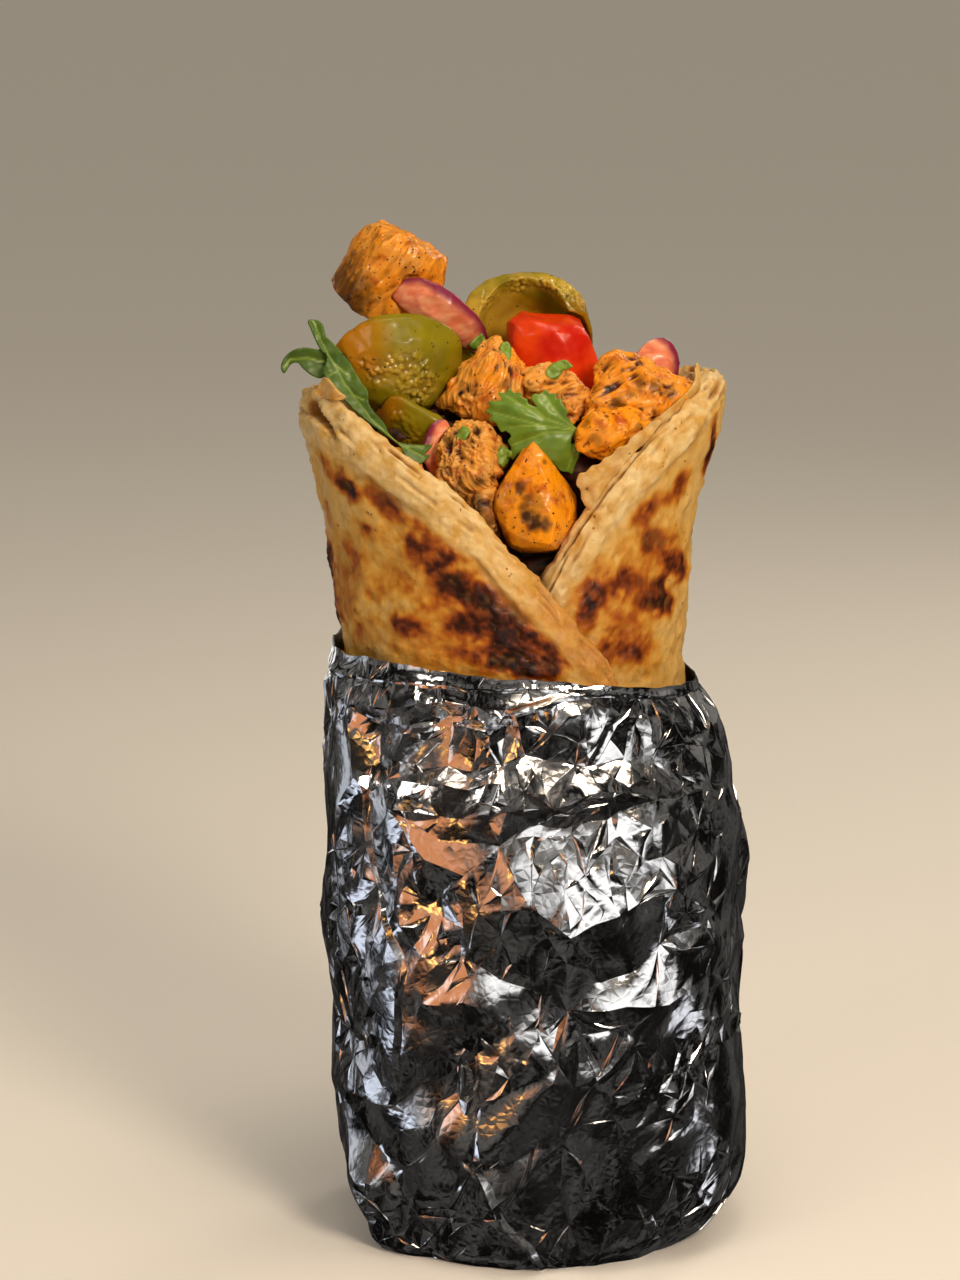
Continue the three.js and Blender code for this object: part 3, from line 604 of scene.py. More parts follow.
# %% Panels, folds and crumples
PANEL_SIZE = 11
PANEL_HEIGHT = 1.6
FOLD_SIZE = 4.6
FOLD_HEIGHT = 0.42
FOLD_LEAN = 58  # the long narrow folds run up to the right
FOLD_STRETCH = 2.2
CRUMPLE_SIZE = 1.6
CRUMPLE_HEIGHT = 0.3
BUSY_PIXELS = [
    # where the photograph shows fine crumples: pixel, and radius in millimetres
    (590, 840, 14), (560, 895, 9), (640, 860, 9), (400, 860, 8), (440, 930, 8), (360, 1050, 12),
    (350, 960, 9), (350, 830, 6), (700, 1190, 10), (690, 800, 7), (480, 1090, 6), (420, 790, 8),
]


def busyness(places):
    """Where the foil is finely crumpled: 1 in some parts and along its upper band, 0 in others."""
    busy = smoothstep(noise(on_cylinder(places), 13, 7), 0, 0.5)
    busy = np.maximum(busy, smoothstep(places[:, 1], 80, 86))
    for u, v, radius in BUSY_PIXELS:
        far = np.linalg.norm(places - place_on_foil((u, v)), axis=1)
        busy = np.maximum(busy, 1 - smoothstep(far, 0.5 * radius, radius))
    return busy


random = np.random.default_rng(22)
panels = strewn_places(PANEL_SIZE, 21, margin=PANEL_SIZE)
gaps = np.linalg.norm(panels[:, None] - fold_places[None], axis=2).min(axis=1)
panels = panels[gaps > 0.8 * PANEL_SIZE]
panel_heights = np.concatenate([random.uniform(-PANEL_HEIGHT, PANEL_HEIGHT, len(panels)), fold_heights])
panels, panel_creases, panel_tree = folded_net(np.concatenate([panels, fold_places]), panel_heights)
folds = strewn_places(FOLD_SIZE, 28, margin=2 * FOLD_SIZE)
heights = random.uniform(-FOLD_HEIGHT, FOLD_HEIGHT, len(folds)) * (0.4 + 0.6 * busyness(folds))
folds, fold_creases, fold_tree = folded_net(folds, heights, FOLD_LEAN, FOLD_STRETCH)

crumples = strewn_places(CRUMPLE_SIZE, 23)
crumples = crumples[random.random(len(crumples)) < 0.04 + 0.7 * busyness(crumples)]
crumpling = CRUMPLE_HEIGHT * random.uniform(-1, 1, len(crumples))
crumples, of_crumple = repeated(crumples)
print("foil panels:", len(panels), "narrow folds:", len(folds), "crumples:", len(crumples))

# %% [markdown]
# Some lines have to stay whole: the sheet's upper and lower edge, its folded-over lip, and the ridges and
# grooves that were seen. Each is a chain of places, and a ridge or groove has one on either side as well.

# %% Edges, lip, ridges and grooves
FOIL_LIP = 2.6  # the edge is folded over by this much
EDGE_SPACING = 1.9
LINE_HALF_WIDTH = 0.8
LINE_SPACING = 1.4

count = round(FOIL_LAP / EDGE_SPACING)
edge = (np.arange(count) + random.uniform(-0.3, 0.3, count)) * FOIL_LAP / count - FOIL_LAP / 2
lip = FOIL_RIM - FOIL_LIP * (0.6 + 0.8 * np.maximum(0, -np.sin(edge / FOIL_RADIUS)))
lines = []
for up in (0, lip - 0.3, lip + 0.3, FOIL_RIM):
    line = repeated(np.stack([edge, 0 * edge + up], -1))[0]
    lines.append(line[np.argsort(line[:, 0])])
for bent in fold_lines:
    walked = np.concatenate([[0], np.cumsum(np.linalg.norm(np.diff(bent, axis=0), axis=1))])
    at = np.linspace(0, walked[-1], round(walked[-1] / LINE_SPACING))
    line = np.stack([np.interp(at, walked, part) for part in bent.T], -1)
    ahead = np.gradient(line, axis=0)
    beside = ahead[:, ::-1] * (-1, 1) / np.linalg.norm(ahead, axis=1, keepdims=True)
    lines += [line + offset * LINE_HALF_WIDTH * beside for offset in (-1, 0, 1)]
print("chains of places:", len(lines))

# %% One net with every crease
# All places together, and the creases as pairs of their numbers. A line's corners follow one another.
places = np.concatenate([crumples, panels, folds, *lines])
creases = [panel_creases + len(crumples), fold_creases + len(crumples) + len(panels)]
first = len(crumples) + len(panels) + len(folds)
for line in lines:
    number = first + np.arange(len(line))
    creases.append(np.stack([number[:-1], number[1:]], -1))
    first += len(line)
corners, triangles, source = net_of_triangles(places, np.concatenate(creases).tolist())
middles = corners[triangles].mean(axis=1)
inside = (np.abs(middles[:, 0] + 1e-7) <= FOIL_LAP / 2) & (middles[:, 1] > 0) & (middles[:, 1] < FOIL_RIM)
triangles = triangles[inside]
used, triangles = np.unique(triangles, return_inverse=True)
triangles = triangles.reshape(-1, 3)
corners, source = corners[used], source[used]
raised = height_of(panel_tree, corners) + height_of(fold_tree, corners)
loose = np.flatnonzero((source >= 0) & (source < len(crumples)))
raised[loose] += crumpling[of_crumple[source[loose]]]
for line, (_, out) in zip(fold_lines, FOIL_LINES):
    raised += out * np.maximum(0, 1 - distance_to_line(corners, line) / LINE_HALF_WIDTH)
sheet, triangles = subdivided(np.column_stack([corners, raised]), triangles)
print("foil triangles:", len(triangles))

# %% [markdown]
# The sheet is wrapped round the roll: its places become angles and heights, and the heights of its facets
# are added to the radius. It draws in above the base, most on the right, and a folded corner stands out at
# the lower left.

# %% Foil skin
FOIL_CORNER_LEFT = 1.4
FOIL_CORNER_RIGHT = 5.5
FOIL_CORNER_HEIGHT_LEFT = 2.5
FOIL_CORNER_HEIGHT_RIGHT = 13
FOLDED_CORNER = dict(angle=-57, height=9, reach=10, out=3)
FOIL_WARP = 1.4  # creases wander by this much, so that facets are a little curved
FOIL_WARP_SIZE = 8


def foil_tuck(angle, z):
    """How far the foil draws in above its base."""
    right = np.maximum(0, np.sin(np.radians(angle))) ** 2
    rounding = FOIL_CORNER_LEFT + (FOIL_CORNER_RIGHT - FOIL_CORNER_LEFT) * right
    corner_height = FOIL_CORNER_HEIGHT_LEFT + (FOIL_CORNER_HEIGHT_RIGHT - FOIL_CORNER_HEIGHT_LEFT) * right
    tucked = rounding * np.maximum(0, 1 - z / corner_height) ** 2
    beside = np.radians(angle - FOLDED_CORNER["angle"]) * FOIL_RADIUS
    above = np.maximum(0, z - FOLDED_CORNER["height"])
    corner = np.maximum(0, 1 - np.hypot(beside, above) / FOLDED_CORNER["reach"])
    return tucked - FOLDED_CORNER["out"] * corner


along, up, height = sheet.T
round_points = on_cylinder(sheet[:, :2])
inner = smoothstep(up, 0, 8) * smoothstep(FOIL_RIM - up, 0, 8)
along = along + FOIL_WARP * inner * noise(round_points, FOIL_WARP_SIZE, 28)
up = up + FOIL_WARP * inner * noise(round_points, FOIL_WARP_SIZE, 29)
angle = (np.degrees(along / FOIL_RADIUS) + 180) % 360 - 180
rim = foil_rim(angle)
z = up / FOIL_RIM * rim
below_rim = rim - z
round_points = on_cylinder(np.stack([along, up], -1))
height = height + lumpy(round_points, (0.13, 3.4, 25), (0.04, 1.5, 26))
leftness = np.maximum(0, -np.sin(np.radians(angle)))
pleats = 1 - 2.5 * np.abs(noise(round_points, (2.6, 2.6, 9), 27))
height += 0.16 * pleats * smoothstep(leftness, 0.05, 0.35) * smoothstep(-below_rim, -16, -10)
relief = (1.1 + height) * (0.25 + 0.75 * smoothstep(below_rim, 0, 5))
lip = FOIL_LIP * (0.6 + 0.8 * leftness)
relief += 0.4 * smoothstep(-below_rim, -lip - 0.3, -lip + 0.3)
relief -= 0.9 * smoothstep(-below_rim, -7, 0)
outer = foil_inner_radius(angle, z) + FOIL_WALL + np.maximum(relief, -0.6) - foil_tuck(angle, z)
skin = point_at(angle, outer, z)
print("foil reaches", round(float(np.abs(skin[:, 0]).max()), 1), "mm from the axis")

# %% [markdown]
# A cup needs more than its skin: a flat base to stand on, and a lining that goes from the thin upper edge
# down the inside. Both are rings of points that start from the skin's own edges, and welding closes them.

# %% Foil base and lining
FOIL_SHEET = 0.25  # drawn thicker than real foil, so that its edge shows
UNDER_PARTS = (0.25, 0.6, 0.9, 1)
LINING_LEVELS = (0.97, 0.9, 0.7, 0.4, 0.1, 0.012)

inside_lap = (along >= -FOIL_LAP / 2) & (along < FOIL_LAP / 2)
top = np.flatnonzero(inside_lap & (up > FOIL_RIM - 1e-4))
top = top[np.argsort(along[top])]
base = np.flatnonzero(inside_lap & (up < 1e-4))
base = base[np.argsort(along[base])]
under = [point_at(angle[base], outer[base] * part, 0 * base) for part in UNDER_PARTS]
lining = [skin[top], point_at(angle[top], outer[top] - FOIL_SHEET, z[top])]
for level in LINING_LEVELS:
    depth = level * z[top]
    inner_face = foil_inner_radius(angle[top], depth) - foil_tuck(angle[top], depth)
    lining.append(point_at(angle[top], inner_face, depth))
points, faces = [skin], triangles.tolist()
count = len(skin)
for rings, centre, opening in ((under, 0, 0), (lining, 0.6, len(lining) - 1)):
    size = len(rings[0])
    faces += (np.array(grid_faces(len(rings), size, True)) + count).tolist()
    first = count + opening * size
    middle = count + len(rings) * size
    for k in range(size):
        pair = [first + k, first + (k + 1) % size]
        faces.append([middle, *(pair if opening else pair[::-1])])
    points += [*rings, [[ROLL_AXIS_X(0), 0, centre]]]
    count = middle + 1
foil_mesh = mesh_from("foil_wrap_sheet", np.concatenate(points), faces)
foil_mesh = modified(foil_mesh, ("WELD", {"merge_threshold": 2e-6}))
print("foil corners:", len(foil_mesh.vertices))

# %% [markdown]
# ## Aluminium foil
# Rolled aluminium is a mirror on one side and satin on the other. A bare metal keeps the default IOR, and its
# roughness wavers a little where the sheet was handled. Edges between facets stay sharp where they bend
# clearly. Crackle finer than the mesh is a bump.

# %% Foil material and piece
CREASE_ANGLE = 20

foil_metal, tree = new_material("rolled aluminium foil")
rough = spots(tree, 9, 0.35, 0.7, to=(0.09, 0.19))
place = add_node(tree, "ShaderNodeTexCoord", output="Object")
inputs = {"Vector": place, "Scale": 1 / (1.5 * MM)}
fine = add_node(tree, "ShaderNodeTexVoronoi", inputs, "Distance", feature="DISTANCE_TO_EDGE")
inputs = {"Height": fine, "Strength": 0.4, "Distance": 0.12 * MM}
bump = add_node(tree, "ShaderNodeBump", inputs, "Normal")
surface = add_node(
    tree,
    "ShaderNodeBsdfPrincipled",
    {"Base Color": "#e2e3e6", "Metallic": 1, "Roughness": rough, "Normal": bump},
    "BSDF",
)
add_node(tree, "ShaderNodeOutputMaterial", {"Surface": surface})
finish_piece("foil_wrap_sheet", foil_mesh, foil_metal, ["foil_wrap"])
foil_mesh.set_sharp_from_angle(angle=math.radians(CREASE_ANGLE))

# %% [markdown]
# ## The paratha
# A paratha is dough rolled in layers with ghee and toasted on a griddle. Rolled up, it is one sheet: it
# starts under the left flap, goes once round by the back and ends as the left flap, which lies over the
# right one. Its edge is puffed and pale, and its layers split along the rim.

# %% Edge and overlap of the paratha
DOUGH = 4.2
LAYER_GAP = 0.5
FLAP_START = -34
FLAP_END = 398
TUCK_ANGLES = (42, 100)
BACK_DIP = 5
RIGHT_PEAK = dict(angle=92, height=140.6, drop=29.1, reach=77.5, power=1.75)
LEFT_PEAK = dict(angle=298, height=139.6, drop=43.6, reach=101, power=1.29)


def fall_from(peak, away):
    return peak["height"] - peak["drop"] * (np.maximum(away, 0) / peak["reach"]) ** peak["power"]


def rim_height(angle):
    """Height of the paratha's edge: two peaks, with a dip between them at the back."""
    share = (angle - RIGHT_PEAK["angle"]) / (LEFT_PEAK["angle"] - RIGHT_PEAK["angle"])
    share = np.clip(share, 0, 1)
    back = RIGHT_PEAK["height"] + (LEFT_PEAK["height"] - RIGHT_PEAK["height"]) * share
    back -= BACK_DIP * np.sin(np.pi * share) ** 1.5
    front = np.where(
        angle < RIGHT_PEAK["angle"],
        fall_from(RIGHT_PEAK, RIGHT_PEAK["angle"] - angle),
        fall_from(LEFT_PEAK, angle - LEFT_PEAK["angle"]),
    )
    between = (angle >= RIGHT_PEAK["angle"]) & (angle <= LEFT_PEAK["angle"])
    ripple = noise(np.stack([angle / 13, 0 * angle, 0 * angle], -1), 1, 11)
    return np.where(between, back, front) + 0.6 * ripple


def tuck(angle):
    """How far the right flap lies inside the left one."""
    return (DOUGH + LAYER_GAP) * (1 - smoothstep(angle, *TUCK_ANGLES))


print("peaks of the rim:", RIGHT_PEAK["height"], "and", LEFT_PEAK["height"], "mm")

# %% [markdown]
# The sheet is built from sections: each goes up the outer face, over the rim and down the inner face. Such a
# grid knows how far along the sheet and how far down from the crest every point lies, which the toasting
# and the split layers need.

# %% Rows and columns of the sheet
RIM_CURVE = [
    # the rim's rounding, as shares of the dough's thickness and of the rounding's height
    (0, 1), (-0.05, 0.8), (-0.02, 0.6), (0.1, 0.36), (0.3, 0.14), (0.55, 0.01), (0.8, 0.02), (0.96, 0.13),
    (1, 0.3), (1, 1),
]
PARATHA_FOOT = 2
RIM_HEIGHT = 8.6
RIM_AT_RIGHT = 0.4
RIM_NARROWING = 26  # degrees from the right-hand peak, where the rim is narrow
UNROLL_RADIUS = 30
HIDDEN_ROWS = 7
OUTER_ROWS = 90
RIM_ROWS = 56
INNER_ROWS = 36
PARATHA_COLUMNS = 480
HIDDEN_BELOW = 89

columns = np.linspace(FLAP_START, FLAP_END, PARATHA_COLUMNS)
top = rim_height(columns)
from_peak = (columns - RIGHT_PEAK["angle"]) / RIM_NARROWING
rim_size = 1 + (RIM_AT_RIGHT - 1) * np.exp(-(from_peak**2))
shoulder = top - rim_size * RIM_HEIGHT
hidden = np.minimum(HIDDEN_BELOW, shoulder - 2)
lower = np.linspace(0, 1, HIDDEN_ROWS, endpoint=False)[:, None]
upper = np.linspace(0, 1, OUTER_ROWS, endpoint=False)[:, None]
steps = np.linspace(0, len(RIM_CURVE) - 1, RIM_ROWS)
across, below = [station_curve(list(enumerate(part)))(steps) for part in zip(*RIM_CURVE)]
inside = np.linspace(0, 1, INNER_ROWS)[1:, None] ** 1.6
heights = np.concatenate(
    [
        PARATHA_FOOT + (hidden - PARATHA_FOOT) * lower,
        hidden + (shoulder - hidden) * upper,
        top - below[:, None] * (top - shoulder),
        shoulder + (PARATHA_FOOT - shoulder) * inside,
    ]
)
depths = np.concatenate(
    [
        np.zeros((HIDDEN_ROWS + OUTER_ROWS, PARATHA_COLUMNS)),
        np.tile(across[:, None] * DOUGH, PARATHA_COLUMNS),
        np.full((INNER_ROWS - 1, PARATHA_COLUMNS), DOUGH),
    ]
)
rows = len(heights)
turn = np.tile(columns, rows)
levels = heights.ravel()
sheet_points = point_at(turn, roll_radius(turn, levels) - tuck(turn) - depths.ravel(), levels)
faces = grid_faces(rows, PARATHA_COLUMNS, False)
last = (rows - 1) * PARATHA_COLUMNS
faces += [[last + k, last + k + 1, k + 1, k] for k in range(PARATHA_COLUMNS - 1)]
first_column = [row * PARATHA_COLUMNS for row in range(rows)]
faces.append(first_column)
faces.append([k + PARATHA_COLUMNS - 1 for k in reversed(first_column)])
paratha_mesh = mesh_from("paratha_sheet", sheet_points, faces)

# Places on the unrolled sheet: along it, and down from its crest, outside positive and inside negative.
steps = np.hypot(np.diff(heights, axis=0), np.diff(depths, axis=0))
walked = np.concatenate([np.zeros((1, PARATHA_COLUMNS)), np.cumsum(steps, axis=0)])
crest = HIDDEN_ROWS + OUTER_ROWS + int(np.argmin(below))
down = (walked[crest] - walked).ravel()
along = np.radians(turn) * UNROLL_RADIUS
unrolled = np.stack([along, down, 0 * down], -1)
edgewise = unrolled * (1, 0, 0)
print("paratha section rows:", rows)

# %% [markdown]
# ## Marks on a surface
# A toasted patch or a charred spot is known by its pixel in the photograph. A search tree finds where the
# line of sight through that pixel meets a mesh, so that the mark lies on the surface itself and stays there
# from every side. A picture laid over the piece would slide and smear on its flanks.

# %% From pixels to surfaces
def joined(*meshes):
    """The points and triangles of several meshes together, in millimetres."""
    points, triangles, count = [], [], 0
    for mesh in meshes:
        mesh.calc_loop_triangles()
        triangles.append(read_vectors(mesh.loop_triangles, "vertices", np.int32) + count)
        points.append(vertex_points(mesh))
        count += len(mesh.vertices)
    return np.concatenate(points), np.concatenate(triangles)


def surface_tree(*meshes):
    """A search tree over meshes, in millimetres."""
    points, triangles = joined(*meshes)
    return BVHTree.FromPolygons(points.tolist(), triangles.tolist())


def spot_under(tree, pixel):
    """Where the line of sight through a pixel first meets a surface, or the place nearest to it."""
    ahead = Vector(sight_line(pixel))
    start = Vector(VIEW_FROM)
    hit = tree.ray_cast(start, ahead)[0]
    return np.array(hit or tree.find_nearest(start + VIEW_DISTANCE * ahead)[0])


# %% [markdown]
# Toasting follows the griddle: where a blister touched the iron it is brown to black, and gold and orange
# spread round it. Each patch has a radius in millimetres and a strength. Noise makes its outline ragged,
# and patches that meet deepen each other. On the back, patches of the same kind are strewn from a seed.
# A few wide patches low on the left flap, and the pocket at the left-hand peak, are painted shade.

# %% Toasted patches and painted shade
TOASTED = [
    # left flap: along its puffed edge, from the peak down to the foil
    (338, 478, 2.4, 0.35), (346, 486, 2.8, 0.85), (354, 493, 2.2, 0.5), (372, 497, 2.6, 0.45),
    (382, 503, 3.2, 0.7), (391, 511, 2.6, 0.6), (405, 515, 4, 0.2), (415, 528, 4, 0.24),
    (425, 540, 4, 0.26), (432, 552, 3.8, 0.62), (443, 566, 3.6, 0.66), (455, 578, 3.4, 0.6),
    (468, 586, 3.4, 0.62), (482, 594, 3.6, 0.8), (497, 603, 3.6, 0.85), (512, 613, 3.4, 0.78),
    (366, 527, 0.9, 0.7), (350, 552, 2.2, 0.42),
    # left flap: above the foil
    (478, 625, 3.4, 0.5), (492, 632, 3.6, 0.7), (508, 640, 4, 0.85), (523, 648, 4, 0.85),
    (538, 657, 4.4, 1), (552, 668, 3.6, 0.95), (505, 655, 3.4, 0.75), (485, 648, 3, 0.5),
    (407, 622, 2.4, 0.8), (400, 628, 1.6, 0.45), (358, 632, 2, 0.4), (372, 600, 1.6, 0.3),
    # left flap: its outer side
    (322, 450, 2.4, 0.45), (326, 466, 2.6, 0.5), (318, 440, 1.6, 0.2),
    # right flap: a branching stripe from the upper right
    (684, 483, 2.2, 0.55), (677, 491, 2.4, 0.6), (668, 498, 2.4, 0.6), (658, 503, 2.4, 0.58),
    (650, 508, 2.2, 0.3), (640, 508, 2.2, 0.48), (638, 520, 2.8, 0.55), (645, 530, 3.2, 0.5),
    (652, 540, 3.2, 0.6), (662, 545, 2.8, 0.7), (670, 553, 2.8, 0.62), (676, 562, 2.6, 0.85),
    (683, 570, 2.8, 0.85), (662, 582, 2.6, 0.7), (665, 592, 2.8, 0.95), (668, 602, 2.8, 0.92),
    (655, 597, 2.8, 0.55), (645, 600, 2.8, 0.45),
    # right flap: a level stripe, and the stretch above the foil
    (582, 600, 2.4, 0.42), (594, 595, 2.7, 0.44), (607, 589, 2.8, 0.52), (620, 584, 2.8, 0.6),
    (632, 580, 2.6, 0.55), (610, 600, 3.2, 0.4), (590, 612, 2.6, 0.36), (605, 645, 2.6, 0.45),
    (618, 650, 3, 0.42), (632, 652, 3, 0.42), (646, 648, 2.6, 0.48), (585, 625, 2.4, 0.48),
    # right flap: its outer side
    (713, 430, 2.6, 0.8), (710, 447, 2.8, 0.9), (706, 462, 2.6, 0.8), (703, 478, 2.6, 0.8),
    (700, 500, 1.6, 0.35), (696, 530, 1.6, 0.35),
    # wide golden stretches; those low on the left flap are partly painted shade, away from the key light
    (395, 520, 9, 0.14), (430, 560, 9, 0.14), (470, 600, 9, 0.3), (510, 630, 9, 0.34), (420, 620, 10, 0.24),
    (370, 565, 8, 0.14), (350, 600, 9, 0.38), (345, 540, 6, 0.1), (450, 650, 8, 0.36), (645, 560, 9, 0.3),
    (620, 615, 9, 0.36), (640, 640, 8, 0.3),
]
BACK_PATCHES = 90
BACK_ANGLES = (112, 285)
BACK_LEVELS = (94, 130)
PATCH_RADII = (1.5, 4)
PATCH_STRENGTHS = (0.3, 0.75)

sheet_tree = surface_tree(paratha_mesh)
ragged = lumpy(sheet_points, (0.5, 4, 31), (0.3, 1.7, 32), (0.15, 0.8, 30))
untoasted = np.ones(len(sheet_points))


def add_patch(centre, radius, strength):
    """Darkens the sheet round a place on it: toast, and in a few patches painted shade."""
    far = np.linalg.norm(sheet_points - centre, axis=1) / radius + ragged
    untoasted[:] *= 1 - strength * (1 - smoothstep(far, 0, 1.4))


for u, v, radius, strength in TOASTED:
    add_patch(spot_under(sheet_tree, (u, v)), radius, strength)
random = np.random.default_rng(33)
for _ in range(BACK_PATCHES):
    angle = random.uniform(*BACK_ANGLES)
    z = random.uniform(*BACK_LEVELS)
    place = point_at(angle, roll_radius(angle, z), z)
    radius = random.uniform(*PATCH_RADII)
    strength = random.uniform(*PATCH_STRENGTHS)
    add_patch(place, radius, strength)
    add_patch(place + random.uniform(-1, 1, 3) * radius, radius, strength)
toast = (1 - untoasted) * (1 + lumpy(sheet_points, (0.25, 2.4, 34), (0.2, 0.9, 35)))
toast *= smoothstep(down, -1, 2)
toast += lumpy(sheet_points, (0.09, 9, 36), (0.06, 3, 37))
print("toasted share of the sheet:", round(float(np.mean(toast > 0.5)), 3))

# %% [markdown]
# The relief is carved along the normals: soft blisters, fine wrinkles, the split layers along the rim, the
# crease under the puffed edge, and the pocket that gapes at the left-hand peak.

# %% Paratha relief
RIM_SPLITS = [
    # distance down from the crest, depth and half-width
    (0.8, 0.9, 0.32), (2.3, 0.6, 0.36), (4.2, 0.4, 0.4), (-1.2, 0.8, 0.32), (-3, 0.5, 0.4),
]
POCKET_PIXELS = [(310, 407), (334, 436)]
POCKET_DEPTH = 2.4
POCKET_HALF_WIDTH = 1.0

outside = smoothstep(down, 0, 3)
blisters = lumpy(sheet_points, (0.55, 9, 41), (0.4, 4.5, 42), (0.2, 2, 43))
grain = 0.14 * noise(sheet_points, 1, 44)
bent = sheet_points + 1.2 * np.stack([noise(sheet_points, 6, k) for k in (45, 46, 49)], -1)
wrinkles = -0.18 * np.maximum(0, 1 - 6 * np.abs(noise(bent, 7, 47)))
wrinkles -= 0.14 * np.maximum(0, 1 - 4 * np.abs(noise(bent, 3, 58)))
flakes = 0.22 * np.floor(3 * noise(bent, 8, 48)) / 3
relief = blisters + grain + wrinkles + flakes
relief *= 0.35 + 0.65 * outside
for at, depth, half_width in RIM_SPLITS:
    wander = at + 1.2 * noise(edgewise, 6, int(60 + 10 * at))
    gaping = smoothstep(noise(edgewise, 5, int(90 + 10 * at)), -0.1, 0.4)
    relief -= depth * gaping * np.exp(-(((down - wander) / half_width) ** 2))
    relief += 0.3 * gaping * np.exp(-(((down - wander - 2 * half_width) / half_width) ** 2))
frayed = np.exp(-((down / 3.5) ** 2))
relief += frayed * (0.35 * noise(bent, 2.2, 54) + 0.3 * noise(sheet_points, 1.1, 55))
band = np.tile(rim_size, rows) * RIM_HEIGHT * 1.06
fold = down - band - 1.6 * noise(edgewise, 10, 51)
relief -= 0.4 * np.exp(-((fold / 1.1) ** 2)) * smoothstep(noise(edgewise, 9, 52), -0.3, 0.4)
relief += 0.2 * np.clip(toast, 0, 1) * noise(sheet_points, 1.3, 53)
relief *= 0.3 + 0.7 * smoothstep(levels, 88, 93)

ends = [spot_under(sheet_tree, pixel) for pixel in POCKET_PIXELS]
ends = [unrolled[int(np.argmin(np.sum((sheet_points - end) ** 2, axis=1)))] for end in ends]
length = np.linalg.norm(ends[1] - ends[0])
way = (ends[1] - ends[0]) / length
offset = unrolled - ends[0]
share = np.clip(offset @ way / length, 0, 1)
gap = np.linalg.norm(offset - share[:, None] * way * length, axis=1) / (1.3 - 0.9 * share)
gap += 0.35 * noise(sheet_points, 1.6, 57)
pocket = 1 - smoothstep(gap, 0.4 * POCKET_HALF_WIDTH, 1.3 * POCKET_HALF_WIDTH)
relief -= POCKET_DEPTH * pocket
push_out(paratha_mesh, relief)

pale_rim = smoothstep(-down + 1.5 * noise(sheet_points, 4, 56), -band - 1, -band + 1.6)
golden_end = smoothstep(turn, 335, 385) * pale_rim
toast *= 1 - 0.8 * pale_rim
# painted shade: the pocket that gapes is darkened through the toast
toast = np.maximum(toast, 0.34 * golden_end + 0.45 * pocket)
pale_rim -= 0.7 * golden_end
# painted shade: the deeper a hollow of the relief, the darker its colour
hollow = np.clip(-1.5 * (relief - blisters) - 0.25, 0, 1)
keep_values(paratha_mesh, toast=toast, rim=pale_rim, hollow=hollow)
print("paratha relief from", round(relief.min(), 2), "to", round(relief.max(), 2), "mm")

# %% [markdown]
# ## Griddled dough
# Layered wheat dough, fried in ghee: cream where the iron did not touch it, then gold, brown and nearly
# black. Fat makes it glisten, and light sinks a little way into the pale crumb. The colour follows the
# numbers kept at the vertices, because a pattern made in the material alone would not know the griddle.
# Hollows of the relief are painted darker as shade.

# %% Dough material and piece
# colours of toast, which also paint the shade of the pocket and of a few wide patches
BROWNING = [
    (0, "#dbb266"),
    (0.16, "#d49f44"),
    (0.34, "#c58222"),
    (0.52, "#ac5a0c"),
    (0.7, "#7e3606"),
    (0.86, "#4c1b03"),
    (1, "#260c02"),
]

dough, tree = new_material("griddled paratha dough")
toasting = add_node(tree, "ShaderNodeAttribute", output="Fac", attribute_name="toast")
speckle = spots(tree, 2.2, 0.2, 0.8, detail=6, to=(-0.15, 0.15))
heat = add_node(tree, "ShaderNodeMath", {0: toasting, 1: speckle}, 0, operation="ADD")
browning = add_node(tree, "ShaderNodeValToRGB", {"Fac": heat})
while len(browning.color_ramp.elements) < len(BROWNING):
    browning.color_ramp.elements.new(0.5)
for stop, (position, colour) in zip(browning.color_ramp.elements, BROWNING):
    stop.position = position
    stop.color = linear(colour)
paleness = add_node(tree, "ShaderNodeAttribute", output="Fac", attribute_name="rim")
paleness = add_node(tree, "ShaderNodeMath", {0: paleness, 1: 0.62}, 0, operation="MULTIPLY")
flaky = spots(tree, 2.4, 0.36, 0.64, detail=6)
cream = add_node(tree, "ShaderNodeMix", {0: flaky, 6: "#d0a04e", 7: "#f0dcaa"}, 2, data_type="RGBA")
inputs = {0: paleness, 6: browning.outputs["Color"], 7: cream}
crumb = add_node(tree, "ShaderNodeMix", inputs, 2, data_type="RGBA")
# painted shade in the hollows, towards a darker brown
sunk = add_node(tree, "ShaderNodeAttribute", output="Fac", attribute_name="hollow")
crumb = add_node(tree, "ShaderNodeMix", {0: sunk, 6: crumb, 7: "#a06a26"}, 2, data_type="RGBA")
flecks = spots(tree, 1.1, 0.73, 0.79, detail=1)
crumb = add_node(tree, "ShaderNodeMix", {0: flecks, 6: crumb, 7: "#8a5a24"}, 2, data_type="RGBA")
rough = spots(tree, 5, 0.3, 0.7, to=(0.34, 0.58))
pores = spots(tree, 0.7, 0, 1, detail=4)
inputs = {"Height": pores, "Strength": 0.6, "Distance": 0.35 * MM}
bump = add_node(tree, "ShaderNodeBump", inputs, "Normal")
surface = add_node(
    tree,
    "ShaderNodeBsdfPrincipled",
    {
        "Base Color": crumb,
        "Roughness": rough,
        "Specular IOR Level": 0.26,
        "Subsurface Weight": 0.15,
        "Subsurface Radius": (1, 0.5, 0.15),
        "Subsurface Scale": 1.4 * MM,
        "Coat Weight": 0.14,
        "Coat Roughness": 0.12,
        "Coat Normal": bump,
        "Normal": bump,
    },
    "BSDF",
)
add_node(tree, "ShaderNodeOutputMaterial", {"Surface": surface})
finish_piece("paratha_sheet", paratha_mesh, dough, ["paratha"])
